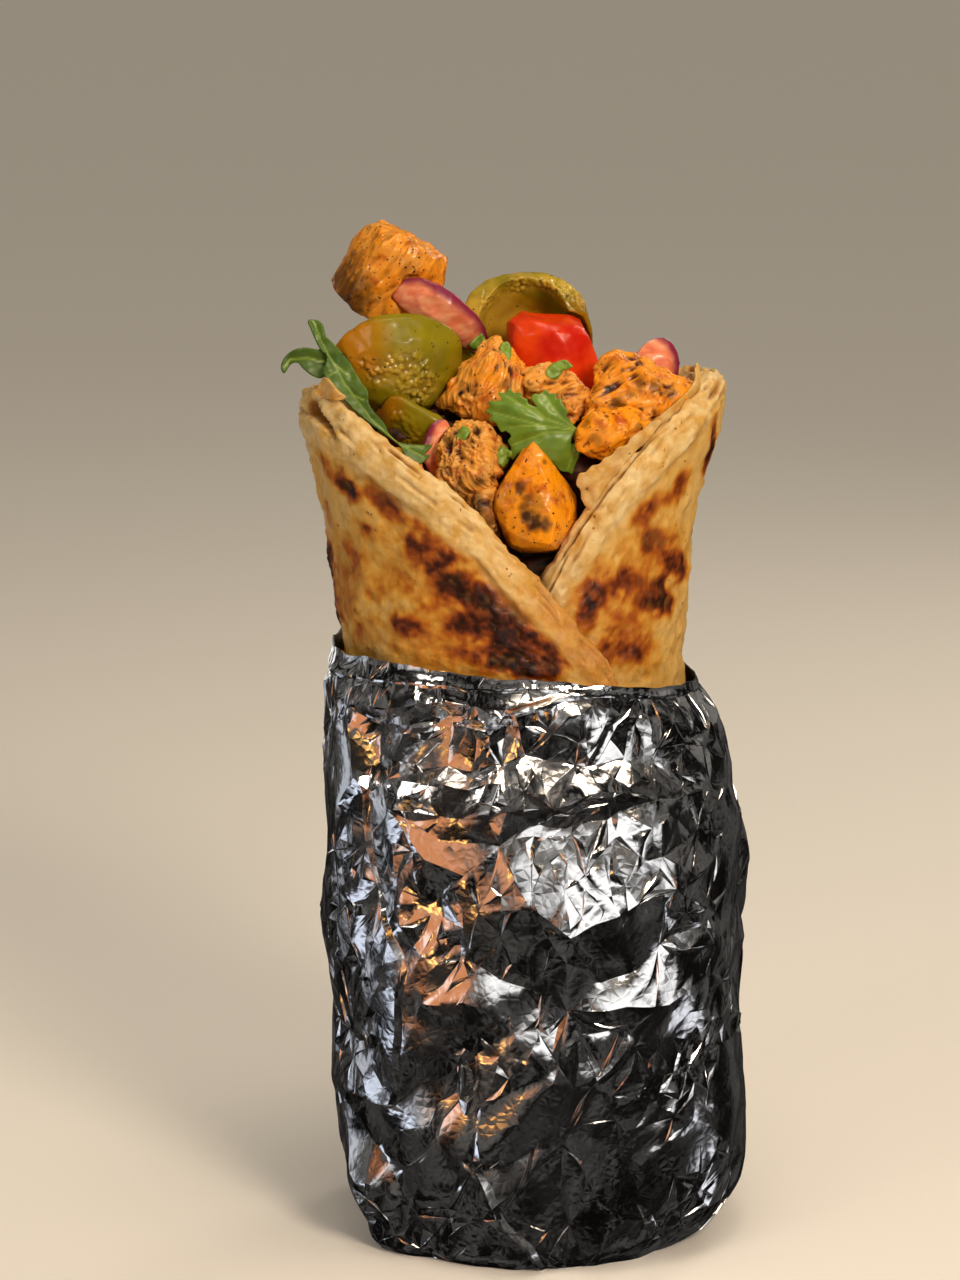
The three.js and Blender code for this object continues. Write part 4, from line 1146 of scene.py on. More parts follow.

# %% [markdown]
# ## The chicken
# Chunks of spiced chicken are torn along their fibres, so most of them show strands, with spice and char in
# the cracks, which are painted darker as shade too. Some char spots are painted shade on faces turned away
# from the key light. Each chunk starts as a fine even copy of its solid and is carved along its normals. A
# grain direction stretches the noise into strands. The front chunk was cut with a knife, and is nearly
# smooth.

# %% Chunks, their char and painted shade
CHICKEN = {
    # voxel, softness, grain direction, strand depth, lump depth, spice: 0 is pale meat, 1 bright orange
    "chicken_front": (0.2, 0.35, (0.2, 0.3, 1), 0.03, 0.16, 1.0),
    "chicken_left": (0.16, 0.7, (0.6, 0.5, -0.6), 0.6, 0.5, 0.15),
    "chicken_low": (0.2, 0.7, (1, 0.2, 0.1), 0.5, 0.5, 0.2),
    "chicken_centre_left": (0.16, 0.4, (0.35, 0.3, 1), 0.5, 0.5, 0.55),
    "chicken_centre_right": (0.18, 0.6, (1, 0.2, 0.25), 0.55, 0.5, 0.35),
    "chicken_right_top": (0.18, 0.6, (1, 0.1, 0.5), 0.36, 0.9, 0.85),
    "chicken_right_low": (0.18, 0.6, (0.8, 0.2, 0.5), 0.22, 0.8, 0.95),
    "chicken_back": (0.2, 0.45, (0.5, 0.3, 1), 0.15, 0.35, 0.7),
    "chicken_side": (0.3, 0.8, (1, 0.4, 0.2), 0.3, 0.5, 0.6),
    "chicken_rear_left": (0.3, 0.8, (0.3, 1, 0.4), 0.35, 0.6, 0.6),
    "chicken_rear_right": (0.3, 0.8, (1, 0.3, 0.2), 0.35, 0.6, 0.7),
}
# char spots, and painted shade: some spots darken faces turned away from the key light
CHARRED = {
    # photograph pixel, radius, strength
    # front chunk: the wide weak spots at (500, 520), (501, 492) and (496, 512) are painted shade on its left
    # face
    "chicken_front": [
        (520, 488, 1.3, 0.8), (528, 499, 1.2, 0.7), (526, 515, 1.5, 0.95), (535, 523, 1.7, 0.95),
        (545, 524, 1.4, 0.85), (533, 505, 2.6, 0.4), (545, 462, 0.6, 0.7), (538, 492, 0.4, 0.8),
        (564, 497, 0.5, 0.7), (565, 501, 0.4, 0.7), (500, 520, 3, 0.3), (520, 545, 4, 0.35),
        (501, 492, 3.4, 0.34), (496, 512, 3.4, 0.36), (524, 507, 1.2, 0.75), (531, 514, 1.2, 0.75),
    ],
    "chicken_left": [
        (480, 481, 1.3, 0.8), (461, 481, 0.8, 0.6), (466, 443, 0.4, 0.7), (450, 440, 1.4, 0.6),
        (445, 470, 1.2, 0.5), (458, 490, 1.3, 0.6),
    ],
    "chicken_centre_left": [
        (461, 393, 0.6, 1.0), (452, 404, 1.2, 0.4), (498, 352, 0.6, 0.8), (482, 372, 0.8, 0.5),
        (505, 385, 1.2, 0.5),
    ],
    "chicken_centre_right": [(520, 372, 1.2, 0.6), (560, 400, 1.2, 0.5), (545, 383, 0.6, 0.6)],
    "chicken_right_top": [
        (623, 370, 0.5, 1.0), (608, 389, 0.6, 1.0), (655, 387, 1.6, 0.7), (617, 404, 1.6, 0.8),
        (640, 410, 0.6, 1.0), (670, 392, 1.4, 0.6), (640, 385, 1.3, 0.5), (630, 395, 1.0, 0.6),
    ],
    "chicken_right_low": [
        (607, 416, 0.5, 0.9), (596, 440, 1.3, 0.5), (640, 425, 1.0, 0.6), (585, 425, 0.9, 0.5),
    ],
    "chicken_low": [(478, 505, 2.4, 0.75), (465, 510, 2.0, 0.7), (490, 520, 2.0, 0.6)],
    # back chunk: these spots are painted shade on its left face, partly char
    "chicken_back": [
        (338, 262, 3.4, 0.7), (341, 275, 4, 0.8), (345, 290, 4.4, 0.85), (352, 304, 4, 0.8),
        (362, 316, 3.4, 0.6), (337, 250, 2.4, 0.5), (352, 268, 3, 0.6), (356, 284, 3.4, 0.68),
        (362, 300, 3.2, 0.62),
    ],
}


print("chunks:", len(CHICKEN), "with char seen on", len(CHARRED))

# %% Carving
STRAND_SIZE = (7, 1.5, 1.5)  # along the grain and across it
THREAD_SIZE = (5, 0.6, 0.6)
SHRED_SIZE = (6, 1.5, 1.5)


def fine_copy(node, voxel, softness):
    """An even mesh of small squares over a solid, with its corners rounded over about `softness` mm."""
    rounds = max(1, round(2 * (softness / voxel) ** 2))
    return modified(
        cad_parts[node].data.copy(),
        ("WELD", {"merge_threshold": 1e-6}),
        ("REMESH", {"mode": "VOXEL", "voxel_size": voxel * MM}),
        ("SMOOTH", {"factor": 0.5, "iterations": rounds}),
    )


def near_pixels(points, tree, listed, ragged=0):
    """How near points are to marked pixels, each with a radius and a strength: from 0 to the strength."""
    near = np.zeros(len(points))
    for u, v, radius, strength in listed:
        far = np.linalg.norm(points - spot_under(tree, (u, v)), axis=1) + ragged * radius
        near = np.maximum(near, strength * (1 - smoothstep(far, 0.3 * radius, 1.25 * radius)))
    return near


def strands(points, grain, size):
    """Noise that is drawn out along a grain direction, for torn fibres."""
    grain = np.array(grain) / np.linalg.norm(grain)
    side = np.cross(grain, (0.31, 0.87, -0.39))
    side /= np.linalg.norm(side)
    bent = points + 0.9 * np.stack([noise(points, 4.5, k) for k in (61, 62, 63)], -1)
    return noise(bent @ np.stack([grain, side, np.cross(grain, side)], -1), size, 64)


def carve_chicken(node, voxel, softness, grain, strand_depth, lump_depth, spice):
    """A chunk's mesh with lumps, torn strands and cracks, and marks for paste, char and painted shade."""
    mesh = fine_copy(node, voxel, softness)
    points = vertex_points(mesh)
    lumps = lumpy(points, (0.6, 5, 65), (0.5, 2.4, 66))
    crags = 0.5 - 1.6 * np.abs(noise(points, 3.6, 69))
    torn = 1 - 2.2 * np.abs(strands(points, grain, STRAND_SIZE))
    threads = 1 - 2 * np.abs(strands(points, grain, THREAD_SIZE))
    relief = lump_depth * (lumps + 0.6 * crags) + strand_depth * (0.8 * torn + 0.5 * threads)
    relief += 0.05 * noise(points, 0.7, 67)
    push_out(mesh, relief - 0.15)
    rough = smoothstep(strand_depth, 0.03, 0.3)
    # painted shade, with the paste that gathers there: the cracks between the strands are darkened
    cracks = rough * smoothstep(-(0.8 * torn + 0.5 * threads + 0.9 * crags), -0.6, 0.5)
    char = near_pixels(points, surface_tree(mesh), CHARRED.get(node, []), 0.35 * noise(points, 1.1, 68))
    keep_values(mesh, cracks=cracks, char=char, spice=np.full(len(points), spice))
    return mesh


# %% [markdown]
# ## Spiced chicken
# Cooked muscle: pale fibres under a paste of chilli and turmeric, orange where it is thin and red-brown where
# it gathers in the cracks, with ground pepper on top and a film of oil. The cracks are painted darker still,
# as shade, and some char spots are painted shade.

# %% Chicken material and pieces
chicken, tree = new_material("spiced griddled chicken")
spice = add_node(tree, "ShaderNodeAttribute", output="Fac", attribute_name="spice")
patchy = spots(tree, 3.5, 0.3, 0.7, detail=4, to=(-0.45, 0.35))
stain = add_node(tree, "ShaderNodeMath", {0: spice, 1: patchy}, 0, operation="ADD", use_clamp=True)
meat = add_node(tree, "ShaderNodeMix", {0: stain, 6: "#e8a850", 7: "#f89a08"}, 2, data_type="RGBA")
paste = spots(tree, 2.2, 0.52, 0.75, detail=5, to=(0, 0.9))
cracks = add_node(tree, "ShaderNodeAttribute", output="Fac", attribute_name="cracks")
dust = spots(tree, 0.6, 0.68, 0.74, detail=1)
char = add_node(tree, "ShaderNodeAttribute", output="Fac", attribute_name="char")
# the crack and char colours carry painted shade as well as paste and char
for cover, colour in ((paste, "#b4450a"), (cracks, "#501a06"), (dust, "#3a1606"), (char, "#1d0d06")):
    meat = add_node(tree, "ShaderNodeMix", {0: cover, 6: meat, 7: colour}, 2, data_type="RGBA")
rough = spots(tree, 2.5, 0.3, 0.7, to=(0.26, 0.5))
grit = spots(tree, 0.5, 0, 1, detail=5)
bump = add_node(tree, "ShaderNodeBump", {"Height": grit, "Strength": 0.4, "Distance": 0.2 * MM}, "Normal")
surface = add_node(
    tree,
    "ShaderNodeBsdfPrincipled",
    {
        "Base Color": meat,
        "Roughness": rough,
        "Specular IOR Level": 0.22,
        "Subsurface Weight": 0.1,
        "Subsurface Radius": (1, 0.35, 0.1),
        "Subsurface Scale": 1 * MM,
        "Coat Weight": 0.3,
        "Coat Roughness": 0.12,
        "Normal": bump,
    },
    "BSDF",
)
add_node(tree, "ShaderNodeOutputMaterial", {"Surface": surface})
for node, settings in CHICKEN.items():
    finish_piece(f"{node}_meat", carve_chicken(node, *settings), chicken, [node])

# %% [markdown]
# ## Packed filling
# Between the pieces the filling is a moist mass of shreds and spice paste, painted nearly black: partly its
# own colour, partly the shade of the deep gaps. It shows only in the gaps, so the same strands as on the
# chicken, on a coarser copy of its solid, are enough.

# %% Packed filling
mesh = fine_copy("filling_core", voxel=0.6, softness=0.7)
points = vertex_points(mesh)
shreds = 1 - 2 * np.abs(strands(points, (1, 0.3, 0.5), SHRED_SIZE))
push_out(mesh, lumpy(points, (0.5, 3.2, 71), (0.3, 1.3, 70)) + 0.5 * shreds - 0.3)
keep_values(mesh, shreds=smoothstep(shreds, 0.2, 0.9))
masala, tree = new_material("dark spice paste")
paste = spots(tree, 2.6, 0.4, 0.65, detail=5)
# painted shade: the paste is coloured nearly black, as the deep gaps between the pieces look
mash = add_node(tree, "ShaderNodeMix", {0: paste, 6: "#150905", 7: "#34150a"}, 2, data_type="RGBA")
shreds = add_node(tree, "ShaderNodeAttribute", output="Fac", attribute_name="shreds")
shreds = add_node(tree, "ShaderNodeMath", {0: shreds, 1: 0.4}, 0, operation="MULTIPLY")
mash = add_node(tree, "ShaderNodeMix", {0: shreds, 6: mash, 7: "#6a3712"}, 2, data_type="RGBA")
rough = spots(tree, 1.5, 0.3, 0.7, to=(0.45, 0.7))
inputs = {"Base Color": mash, "Roughness": rough, "Specular IOR Level": 0.25}
surface = add_node(tree, "ShaderNodeBsdfPrincipled", inputs, "BSDF")
add_node(tree, "ShaderNodeOutputMaterial", {"Surface": surface})
finish_piece("filling_core_mash", mesh, masala, ["filling_core"])

# %% [markdown]
# ## Peppers
# The peppers are cooked soft: olive where the skin shows, amber in places, with wet
# bubbly flesh that sparkles. The bubbles are real relief, because they make the highlights: each is a dome
# round one of many points strewn through the piece. Pixels of the photograph say where each look shows.

# %% Where the peppers are wet, amber and pale
PEPPERS = {
    # voxel, softness, bubble height
    "pepper_left": (0.18, 0.7, 0.7),
    "pepper_low": (0.22, 0.6, 0.4),
    "pepper_back": (0.2, 0.6, 0.6),
}
WET_PIXELS = {
    # where bubbly flesh shows: pixel, radius, strength
    "pepper_left": [
        (366, 364, 1.6, 0.8), (378, 372, 2.2, 0.9), (393, 368, 2.4, 1), (408, 366, 2.6, 1),
        (420, 372, 2.6, 1), (424, 386, 2.6, 1), (418, 398, 2.4, 1), (408, 384, 2.6, 0.8),
        (412, 412, 1.8, 1),
    ],
    "pepper_back": [
        (490, 300, 2, 0.8), (516, 286, 2.2, 0.9), (545, 284, 2.4, 1), (566, 290, 2.4, 1), (580, 300, 2, 1),
    ],
    "pepper_low": [(402, 425, 3, 0.6), (412, 436, 3, 0.6)],
}
AMBER_PIXELS = {
    "pepper_left": [(345, 345, 7, 1), (362, 358, 5, 0.9), (412, 414, 3, 0.6)],
    "pepper_back": [(505, 318, 6, 1), (530, 315, 5, 0.8), (585, 312, 4, 0.4)],
    "pepper_low": [(385, 405, 4, 0.8)],
}
# pale patches: partly pale flesh, partly painted light, as glints on the back piece's rim and the left
# piece's bubbles, and as a lightened hollow in the back piece
PALE_PIXELS = {
    "pepper_left": [(400, 372, 4, 0.5), (420, 390, 4, 0.5)],
    "pepper_back": [
        (480, 312, 4, 0.7), (495, 308, 5, 0.7), (505, 320, 5, 0.6), (520, 283, 3, 0.6), (545, 281, 3, 0.7),
        (570, 285, 3, 0.8), (582, 295, 3, 0.6),
    ],
    "pepper_low": [],
}
print("pepper pieces:", list(PEPPERS))

# %% [markdown]
# Cooked pepper is soft and moist. Light sinks well into its flesh, and juice lies on it as a clear coat, most
# where it is wet. Its colours are mixed by the numbers kept at the vertices. The dents between bubbles are
# painted darker as shade, and the pale patches are partly painted light.

# %% Pepper material
pepper, tree = new_material("soft cooked green pepper")
patchy = spots(tree, 5, 0.35, 0.7)
skin = add_node(tree, "ShaderNodeMix", {0: patchy, 6: "#7d7406", 7: "#93850c"}, 2, data_type="RGBA")
# the dent colour is painted shade, and the pale colour is partly painted light
for look, colour in (("amber", "#b87a06"), ("pale", "#d8b440"), ("dents", "#574305")):
    share = add_node(tree, "ShaderNodeAttribute", output="Fac", attribute_name=look)
    skin = add_node(tree, "ShaderNodeMix", {0: share, 6: skin, 7: colour}, 2, data_type="RGBA")
freckles = spots(tree, 0.8, 0.7, 0.76, detail=1)
skin = add_node(tree, "ShaderNodeMix", {0: freckles, 6: skin, 7: "#4a3a0a"}, 2, data_type="RGBA")
wet = add_node(tree, "ShaderNodeAttribute", output="Fac", attribute_name="wet")
juice = add_node(tree, "ShaderNodeMapRange", {"Value": wet, "To Min": 0.2, "To Max": 1}, "Result")
surface = add_node(
    tree,
    "ShaderNodeBsdfPrincipled",
    {
        "Base Color": skin,
        "Roughness": 0.36,
        "Specular IOR Level": 0.25,
        "Subsurface Weight": 0.25,
        "Subsurface Radius": (1, 0.8, 0.05),
        "Subsurface Scale": 1.2 * MM,
        "Coat Weight": juice,
        "Coat Roughness": 0.06,
    },
    "BSDF",
)
add_node(tree, "ShaderNodeOutputMaterial", {"Surface": surface})


# %% Bubbles and pepper pieces
BUBBLE_SPACING = 0.85


def bubbles(points, spacing, seed):
    """Domes round strewn points, from 0 between them to 1 on top."""
    random = np.random.default_rng(seed)
    low, high = points.min(0), points.max(0)
    count = int(np.prod(high - low) / spacing**3)
    centres = random.uniform(low, high, (count, 3))
    tree = KDTree(count)
    for k, centre in enumerate(centres):
        tree.insert(centre, k)
    tree.balance()
    gaps = np.array([tree.find(p)[2] for p in points])
    return np.clip(1 - (gaps / (0.75 * spacing)) ** 2, 0, 1)


for node, (voxel, softness, bubble) in PEPPERS.items():
    mesh = fine_copy(node, voxel, softness)
    points = vertex_points(mesh)
    tree = surface_tree(mesh)
    wet = near_pixels(points, tree, WET_PIXELS[node], 0.3 * noise(points, 2, 72))
    amber = near_pixels(points, tree, AMBER_PIXELS[node], 0.2 * noise(points, 4, 73))
    relief = lumpy(points, (0.35, 5, 74), (0.08, 1.8, 75))
    domes = bubbles(points, BUBBLE_SPACING, 76)
    push_out(mesh, relief + bubble * wet * (domes - 0.5))
    # partly painted light: these patches are lightened towards a pale yellow
    pale = near_pixels(points, tree, PALE_PIXELS[node], 0.3 * noise(points, 1.6, 72))
    # painted shade: the dents between the bubbles are darkened
    dents = 0.5 * wet * (1 - smoothstep(domes, 0, 0.4))
    keep_values(mesh, wet=wet, amber=amber, pale=pale, dents=dents)
    finish_piece(f"{node}_flesh", mesh, pepper, [node])

# %% [markdown]
# ## Tomato
# One wedge of tomato with cut faces: saturated red, wet and a little see-through at its edges. Light that
# sinks in and scatters gives that, and a thin clear coat is the juice.

# %% Tomato
mesh = fine_copy("tomato", voxel=0.22, softness=0.45)
points = vertex_points(mesh)
push_out(mesh, lumpy(points, (0.2, 5, 77), (0.06, 1.4, 78)))
tomato, tree = new_material("ripe tomato flesh")
patchy = spots(tree, 5, 0.35, 0.68)
flesh = add_node(tree, "ShaderNodeMix", {0: patchy, 6: "#cc1f07", 7: "#ea4a0a"}, 2, data_type="RGBA")
surface = add_node(
    tree,
    "ShaderNodeBsdfPrincipled",
    {
        "Base Color": flesh,
        "Roughness": 0.32,
        "Specular IOR Level": 0.22,
        "Subsurface Weight": 0.2,
        "Subsurface Radius": (1, 0.15, 0.03),
        "Subsurface Scale": 1.6 * MM,
        "Coat Weight": 0.15,
        "Coat Roughness": 0.08,
    },
    "BSDF",
)
add_node(tree, "ShaderNodeOutputMaterial", {"Surface": surface})
finish_piece("tomato_wedge", mesh, tomato, ["tomato"])

# %% [markdown]
# ## Red onion
# A slice of red onion is purple on its skin side and along its edge, and pale pink with faint lines inside.
# The skin follows the slice's own curved edge, which is found station by station along its length.

# %% Onion slices
ONIONS = {
    # direction of the edge that carries the purple skin, the slice's length, and the skin's width
    "onion_top": ((0.6, 0, 0.8), (-0.8, 0, 0.6), 2.1),
    "onion_right": ((0.95, -0.1, 0.3), (-0.3, 0, 0.95), 1.6),
    "onion_low": ((-0.9, -0.2, 0.3), (0.3, 0, 0.95), 1.2),
    "onion_rear": ((0, 0.5, 0.9), (1, 0, 0), 1.5),
}
SKIN_STATIONS = 24

onion, tree = new_material("red onion slice")
lines = spots(tree, 1.2, 0.4, 0.62, stretch=(0.4, 1, 1))
flesh = add_node(tree, "ShaderNodeMix", {0: lines, 6: "#f8ab82", 7: "#ea8058"}, 2, data_type="RGBA")
skin = add_node(tree, "ShaderNodeAttribute", output="Fac", attribute_name="skin")
flesh = add_node(tree, "ShaderNodeMix", {0: skin, 6: flesh, 7: "#8a2148"}, 2, data_type="RGBA")
surface = add_node(
    tree,
    "ShaderNodeBsdfPrincipled",
    {
        "Base Color": flesh,
        "Roughness": 0.3,
        "Subsurface Weight": 0.35,
        "Subsurface Radius": (1, 0.5, 0.5),
        "Subsurface Scale": 1.6 * MM,
        "Coat Weight": 0.25,
        "Coat Roughness": 0.12,
    },
    "BSDF",
)
add_node(tree, "ShaderNodeOutputMaterial", {"Surface": surface})


def below_edge(points, outwards, lengthwise):
    """How far points lie below the edge of a slice, found station by station along its length."""
    reach = points @ outwards
    at = points @ lengthwise
    stations = np.linspace(at.min(), at.max(), SKIN_STATIONS)
    number = np.argmin(np.abs(at[:, None] - stations[None]), axis=1)
    edge = [reach[number == k].max(initial=reach.min()) for k in range(SKIN_STATIONS)]
    return np.interp(at, stations, edge) - reach


for node, (outwards, lengthwise, width) in ONIONS.items():
    mesh = fine_copy(node, voxel=0.18, softness=0.4)
    points = vertex_points(mesh)
    push_out(mesh, lumpy(points, (0.15, 3, 79), (0.04, 1, 84)))
    gap = below_edge(points, outwards, lengthwise) + 0.5 * noise(points, 2.5, 80)
    keep_values(mesh, skin=1 - smoothstep(gap, 0.2 * width, width))
    finish_piece(f"{node}_slice", mesh, onion, [node])

# %% [markdown]
# ## Coriander
# A coriander leaf is thin, lobed and toothed, with veins that fan out from its stalk. Its outline is traced
# as pixels of the photograph and filled with small triangles on a gently curved surface, which is thickened.
# The solid is too thick for a leaf's edge, so the blade is a new sheet in the same place.

# %% Thin sheets from outlines
def closed_curve(corners, steps=5):
    """A smooth closed line through corner points."""
    corners = np.array(corners, float)
    before, after, beyond = (np.roll(corners, k, axis=0) for k in (1, -1, -2))
    line = []
    for t in np.arange(steps) / steps:
        bend = (-before + after) * t + (2 * before - 5 * corners + 4 * after - beyond) * t**2
        line.append(corners + 0.5 * (bend + (-before + 3 * corners - 3 * after + beyond) * t**3))
    return np.stack(line, 1).reshape(-1, 2)


def filled_outline(outline, spacing):
    """Pixels inside a smooth outline, and the triangles between them."""
    edge = closed_curve(outline)
    spans = [np.arange(a, b, spacing) for a, b in zip(edge.min(0), edge.max(0))]
    inside = np.stack(np.meshgrid(*spans), -1).reshape(-1, 2)
    gaps = np.min(np.linalg.norm(inside[:, None] - edge[None], axis=2), axis=1)
    inside = inside[gaps > 0.6 * spacing]
    ring = [(k, (k + 1) % len(edge)) for k in range(len(edge))]
    net = delaunay_2d_cdt([Vector(p) for p in np.concatenate([edge, inside])], ring, [], 1, 1e-6)
    return np.array([(p.x, p.y) for p in net[0]]), net[2]


def points_at_depth(pixels, depth):
    """Points on the lines of sight through pixels, where y is the given depth."""
    sights = np.array([sight_line(p) for p in pixels])
    return VIEW_FROM + sights * ((depth - VIEW_FROM[1]) / sights[:, 1])[:, None]


def thin_sheet(name, points, faces, thickness, **values):
    """A sheet of some thickness behind points, whose front looks at the camera."""
    mesh = mesh_from(name, points, faces)
    if np.mean(vertex_normals(mesh) @ VIEW_AHEAD) > 0:
        mesh.flip_normals()
    keep_values(mesh, **values)
    return modified(mesh, ("SOLIDIFY", {"thickness": thickness * MM, "offset": -1}))


# %% Leaf outlines
# each leaf's last value is its share of painted shade
LEAVES = {
    "leaf_main": dict(
        outline=[
            (580, 430), (575, 427), (570, 421), (566, 417), (567, 411), (562, 404), (561, 399), (556, 399),
            (556, 394), (551, 394), (545, 390), (540, 394), (534, 394), (531, 399), (537, 407), (529, 404),
            (527, 399), (522, 398), (521, 393), (515, 393), (509, 389), (505, 393), (498, 393), (502, 400),
            (496, 401), (488, 402), (490, 407), (486, 412), (491, 415), (489, 421), (494, 422), (498, 427),
            (501, 432), (506, 431), (511, 436), (508, 442), (511, 448), (509, 455), (513, 460), (518, 454),
            (524, 452), (535, 458), (548, 460), (555, 465), (561, 471), (568, 472), (572, 474), (575, 465),
            (579, 456), (580, 447), (575, 444), (571, 444), (573, 436),
        ],
        veins=[
            [(579, 431), (560, 417), (545, 396)], [(579, 431), (545, 418), (506, 396)],
            [(579, 431), (540, 425), (492, 412)], [(579, 431), (545, 433), (512, 445)],
            [(579, 431), (574, 450), (568, 469)], [(545, 418), (530, 405)], [(540, 425), (510, 427)],
        ],
        depth=lambda p: -16.4 + ((p[:, 0] - 1.2) ** 2 + (p[:, 2] - 134) ** 2) / 34,
        deep=0.1,
    ),
    "leaf_left": dict(
        outline=[
            (308, 321), (317, 320), (323, 325), (326, 336), (330, 340), (338, 349), (349, 362), (356, 373),
            (362, 384), (368, 392), (369, 403), (374, 412), (383, 422), (387, 429), (391, 437), (400, 443),
            (415, 445), (431, 445), (430, 449), (424, 455), (430, 455), (426, 461), (419, 465), (412, 464),
            (403, 454), (399, 446), (385, 435), (371, 425), (360, 416), (349, 406), (340, 396), (333, 388),
            (326, 379), (323, 371), (326, 364), (326, 355), (322, 352), (317, 344), (311, 330),
        ],
        veins=[
            [(313, 322), (326, 350), (345, 385), (375, 424), (402, 447), (425, 458)],
            [(335, 365), (350, 378)], [(352, 395), (364, 400)], [(402, 447), (425, 447)],
            [(338, 372), (330, 376)],
        ],
        depth=lambda p: np.interp(p[:, 2], [129, 133.5, 138, 144, 150], [-18.8, -16.8, -13.8, -10.3, -7.3]),
        deep=0.66,
    ),
    "leaf_curl": dict(
        outline=[
            (327, 352), (315, 349), (305, 348), (296, 350), (288, 354), (283, 362), (282, 369), (285, 372),
            (290, 364), (297, 362), (303, 368), (310, 374), (320, 378), (327, 372),
        ],
        veins=[[(326, 362), (308, 358), (290, 359), (284, 368)]],
        depth=lambda p: np.interp(p[:, 2], [140, 145], [-10.6, -9]),
        deep=0.75,
    ),
}
print("corners of the leaves' outlines:", [len(shape["outline"]) for shape in LEAVES.values()])

# %% Blades
LEAF_THICKNESS = 0.34
LEAF_SPACING = 1.6  # pixels between the points inside an outline


def leaf_mesh(name, outline, veins, depth, deep):
    """A thin leaf whose outline and veins are pixels, on a curved surface, puckered between its veins."""
    pixels, faces = filled_outline(outline, LEAF_SPACING)
    level = np.full(len(pixels), -14.0)
    for _ in range(6):
        points = points_at_depth(pixels, level)
        level = depth(points)
    away = np.min([distance_to_line(pixels, vein) for vein in veins], axis=0) / PIXELS_PER_MM
    pucker = 0.45 * (1 - np.exp(-((away / 0.9) ** 2)))
    pucker += lumpy(points, (0.5, 4, 81), (0.22, 1.6, 82))
    vein = 0.8 * np.exp(-((away / 0.13) ** 2))
    points = points - VIEW_AHEAD * pucker[:, None]
    return thin_sheet(name, points, faces, LEAF_THICKNESS, vein=vein, deep=np.full(len(points), deep))


# %% [markdown]
# A fresh leaf has a thin waxy skin over soft green flesh: it shines a little, and light goes into it. The
# veins are paler than the blade, and the leaves at the left are painted darkest, as shade.

# %% Leaf material and pieces
coriander, tree = new_material("fresh coriander leaf")
patchy = spots(tree, 4, 0.35, 0.7)
green = add_node(tree, "ShaderNodeMix", {0: patchy, 6: "#5c821c", 7: "#7c9e2a"}, 2, data_type="RGBA")
# painted shade: each leaf is darkened by its own share, the leaves at the left most
for look, colour in (("deep", "#33500c"), ("vein", "#9cb74a")):
    share = add_node(tree, "ShaderNodeAttribute", output="Fac", attribute_name=look)
    green = add_node(tree, "ShaderNodeMix", {0: share, 6: green, 7: colour}, 2, data_type="RGBA")
surface = add_node(
    tree,
    "ShaderNodeBsdfPrincipled",
    {
        "Base Color": green,
        "Roughness": 0.4,
        "Subsurface Weight": 0.2,
        "Subsurface Radius": (0.4, 1, 0.15),
        "Subsurface Scale": 0.6 * MM,
        "Coat Weight": 0.1,
        "Coat Roughness": 0.25,
    },
    "BSDF",
)
add_node(tree, "ShaderNodeOutputMaterial", {"Surface": surface})
for node, shape in LEAVES.items():
    finish_piece(f"{node}_blade", leaf_mesh(node, **shape), coriander, [node])

# %% [markdown]
# ## Chopped herbs and dough flakes
# Small things that give the heap its life: bits of chopped coriander on the chicken, and thin flakes of
# dough that peel off the rim. Each is an outline of pixels, laid just in front of whatever is there, and
# curled by noise, because each has a shape of its own and nothing repeats.

# %% Outlines of bits and flakes
HERB_BITS = [
    [(502, 345), (506, 342), (510, 346), (511, 356), (508, 362), (503, 360), (501, 352)],
    [
        (546, 372), (552, 364), (562, 361), (570, 364), (572, 368), (564, 370), (560, 376), (556, 380),
        (549, 378),
    ],
    [(456, 437), (461, 428), (467, 427), (470, 432), (466, 438), (459, 441)],
    [(470, 346), (476, 338), (483, 335), (485, 342), (479, 349), (473, 351)],
    [(494, 444), (503, 446), (510, 452), (509, 462), (504, 468), (498, 462), (495, 452)],
]
DOUGH_FLAKES = [
    [
        (652, 422), (664, 412), (677, 401), (688, 390), (694, 380), (694, 371), (696, 363), (699, 372),
        (700, 384), (692, 396), (680, 408), (666, 420), (655, 427),
    ],
    [
        (588, 508), (582, 499), (580, 490), (576, 484), (579, 474), (586, 472), (592, 466), (599, 464),
        (604, 458), (611, 455), (618, 447), (626, 445), (631, 437), (641, 431), (648, 424), (653, 421),
        (661, 422), (650, 437), (634, 452), (622, 466), (610, 480), (600, 495), (592, 508),
    ],
    [(315, 394), (319, 386), (325, 378), (331, 381), (338, 390), (346, 398), (336, 401), (325, 397)],
]
HELD_AT = [
    # for each flake, the pixels of the rim where it is held
    [(662, 425), (698, 388)], [(596, 507), (656, 434)], [(320, 398), (336, 402)],
]
print("bits:", len(HERB_BITS), "and flakes:", len(DOUGH_FLAKES))

# %% Bits and flakes
BIT_LIFT = 0.7
BIT_THICKNESS = 0.32
BIT_REACH = 2.5  # a bit bends by no more than this to follow what it lies on
BIT_SPACING = 2  # pixels between the points inside an outline


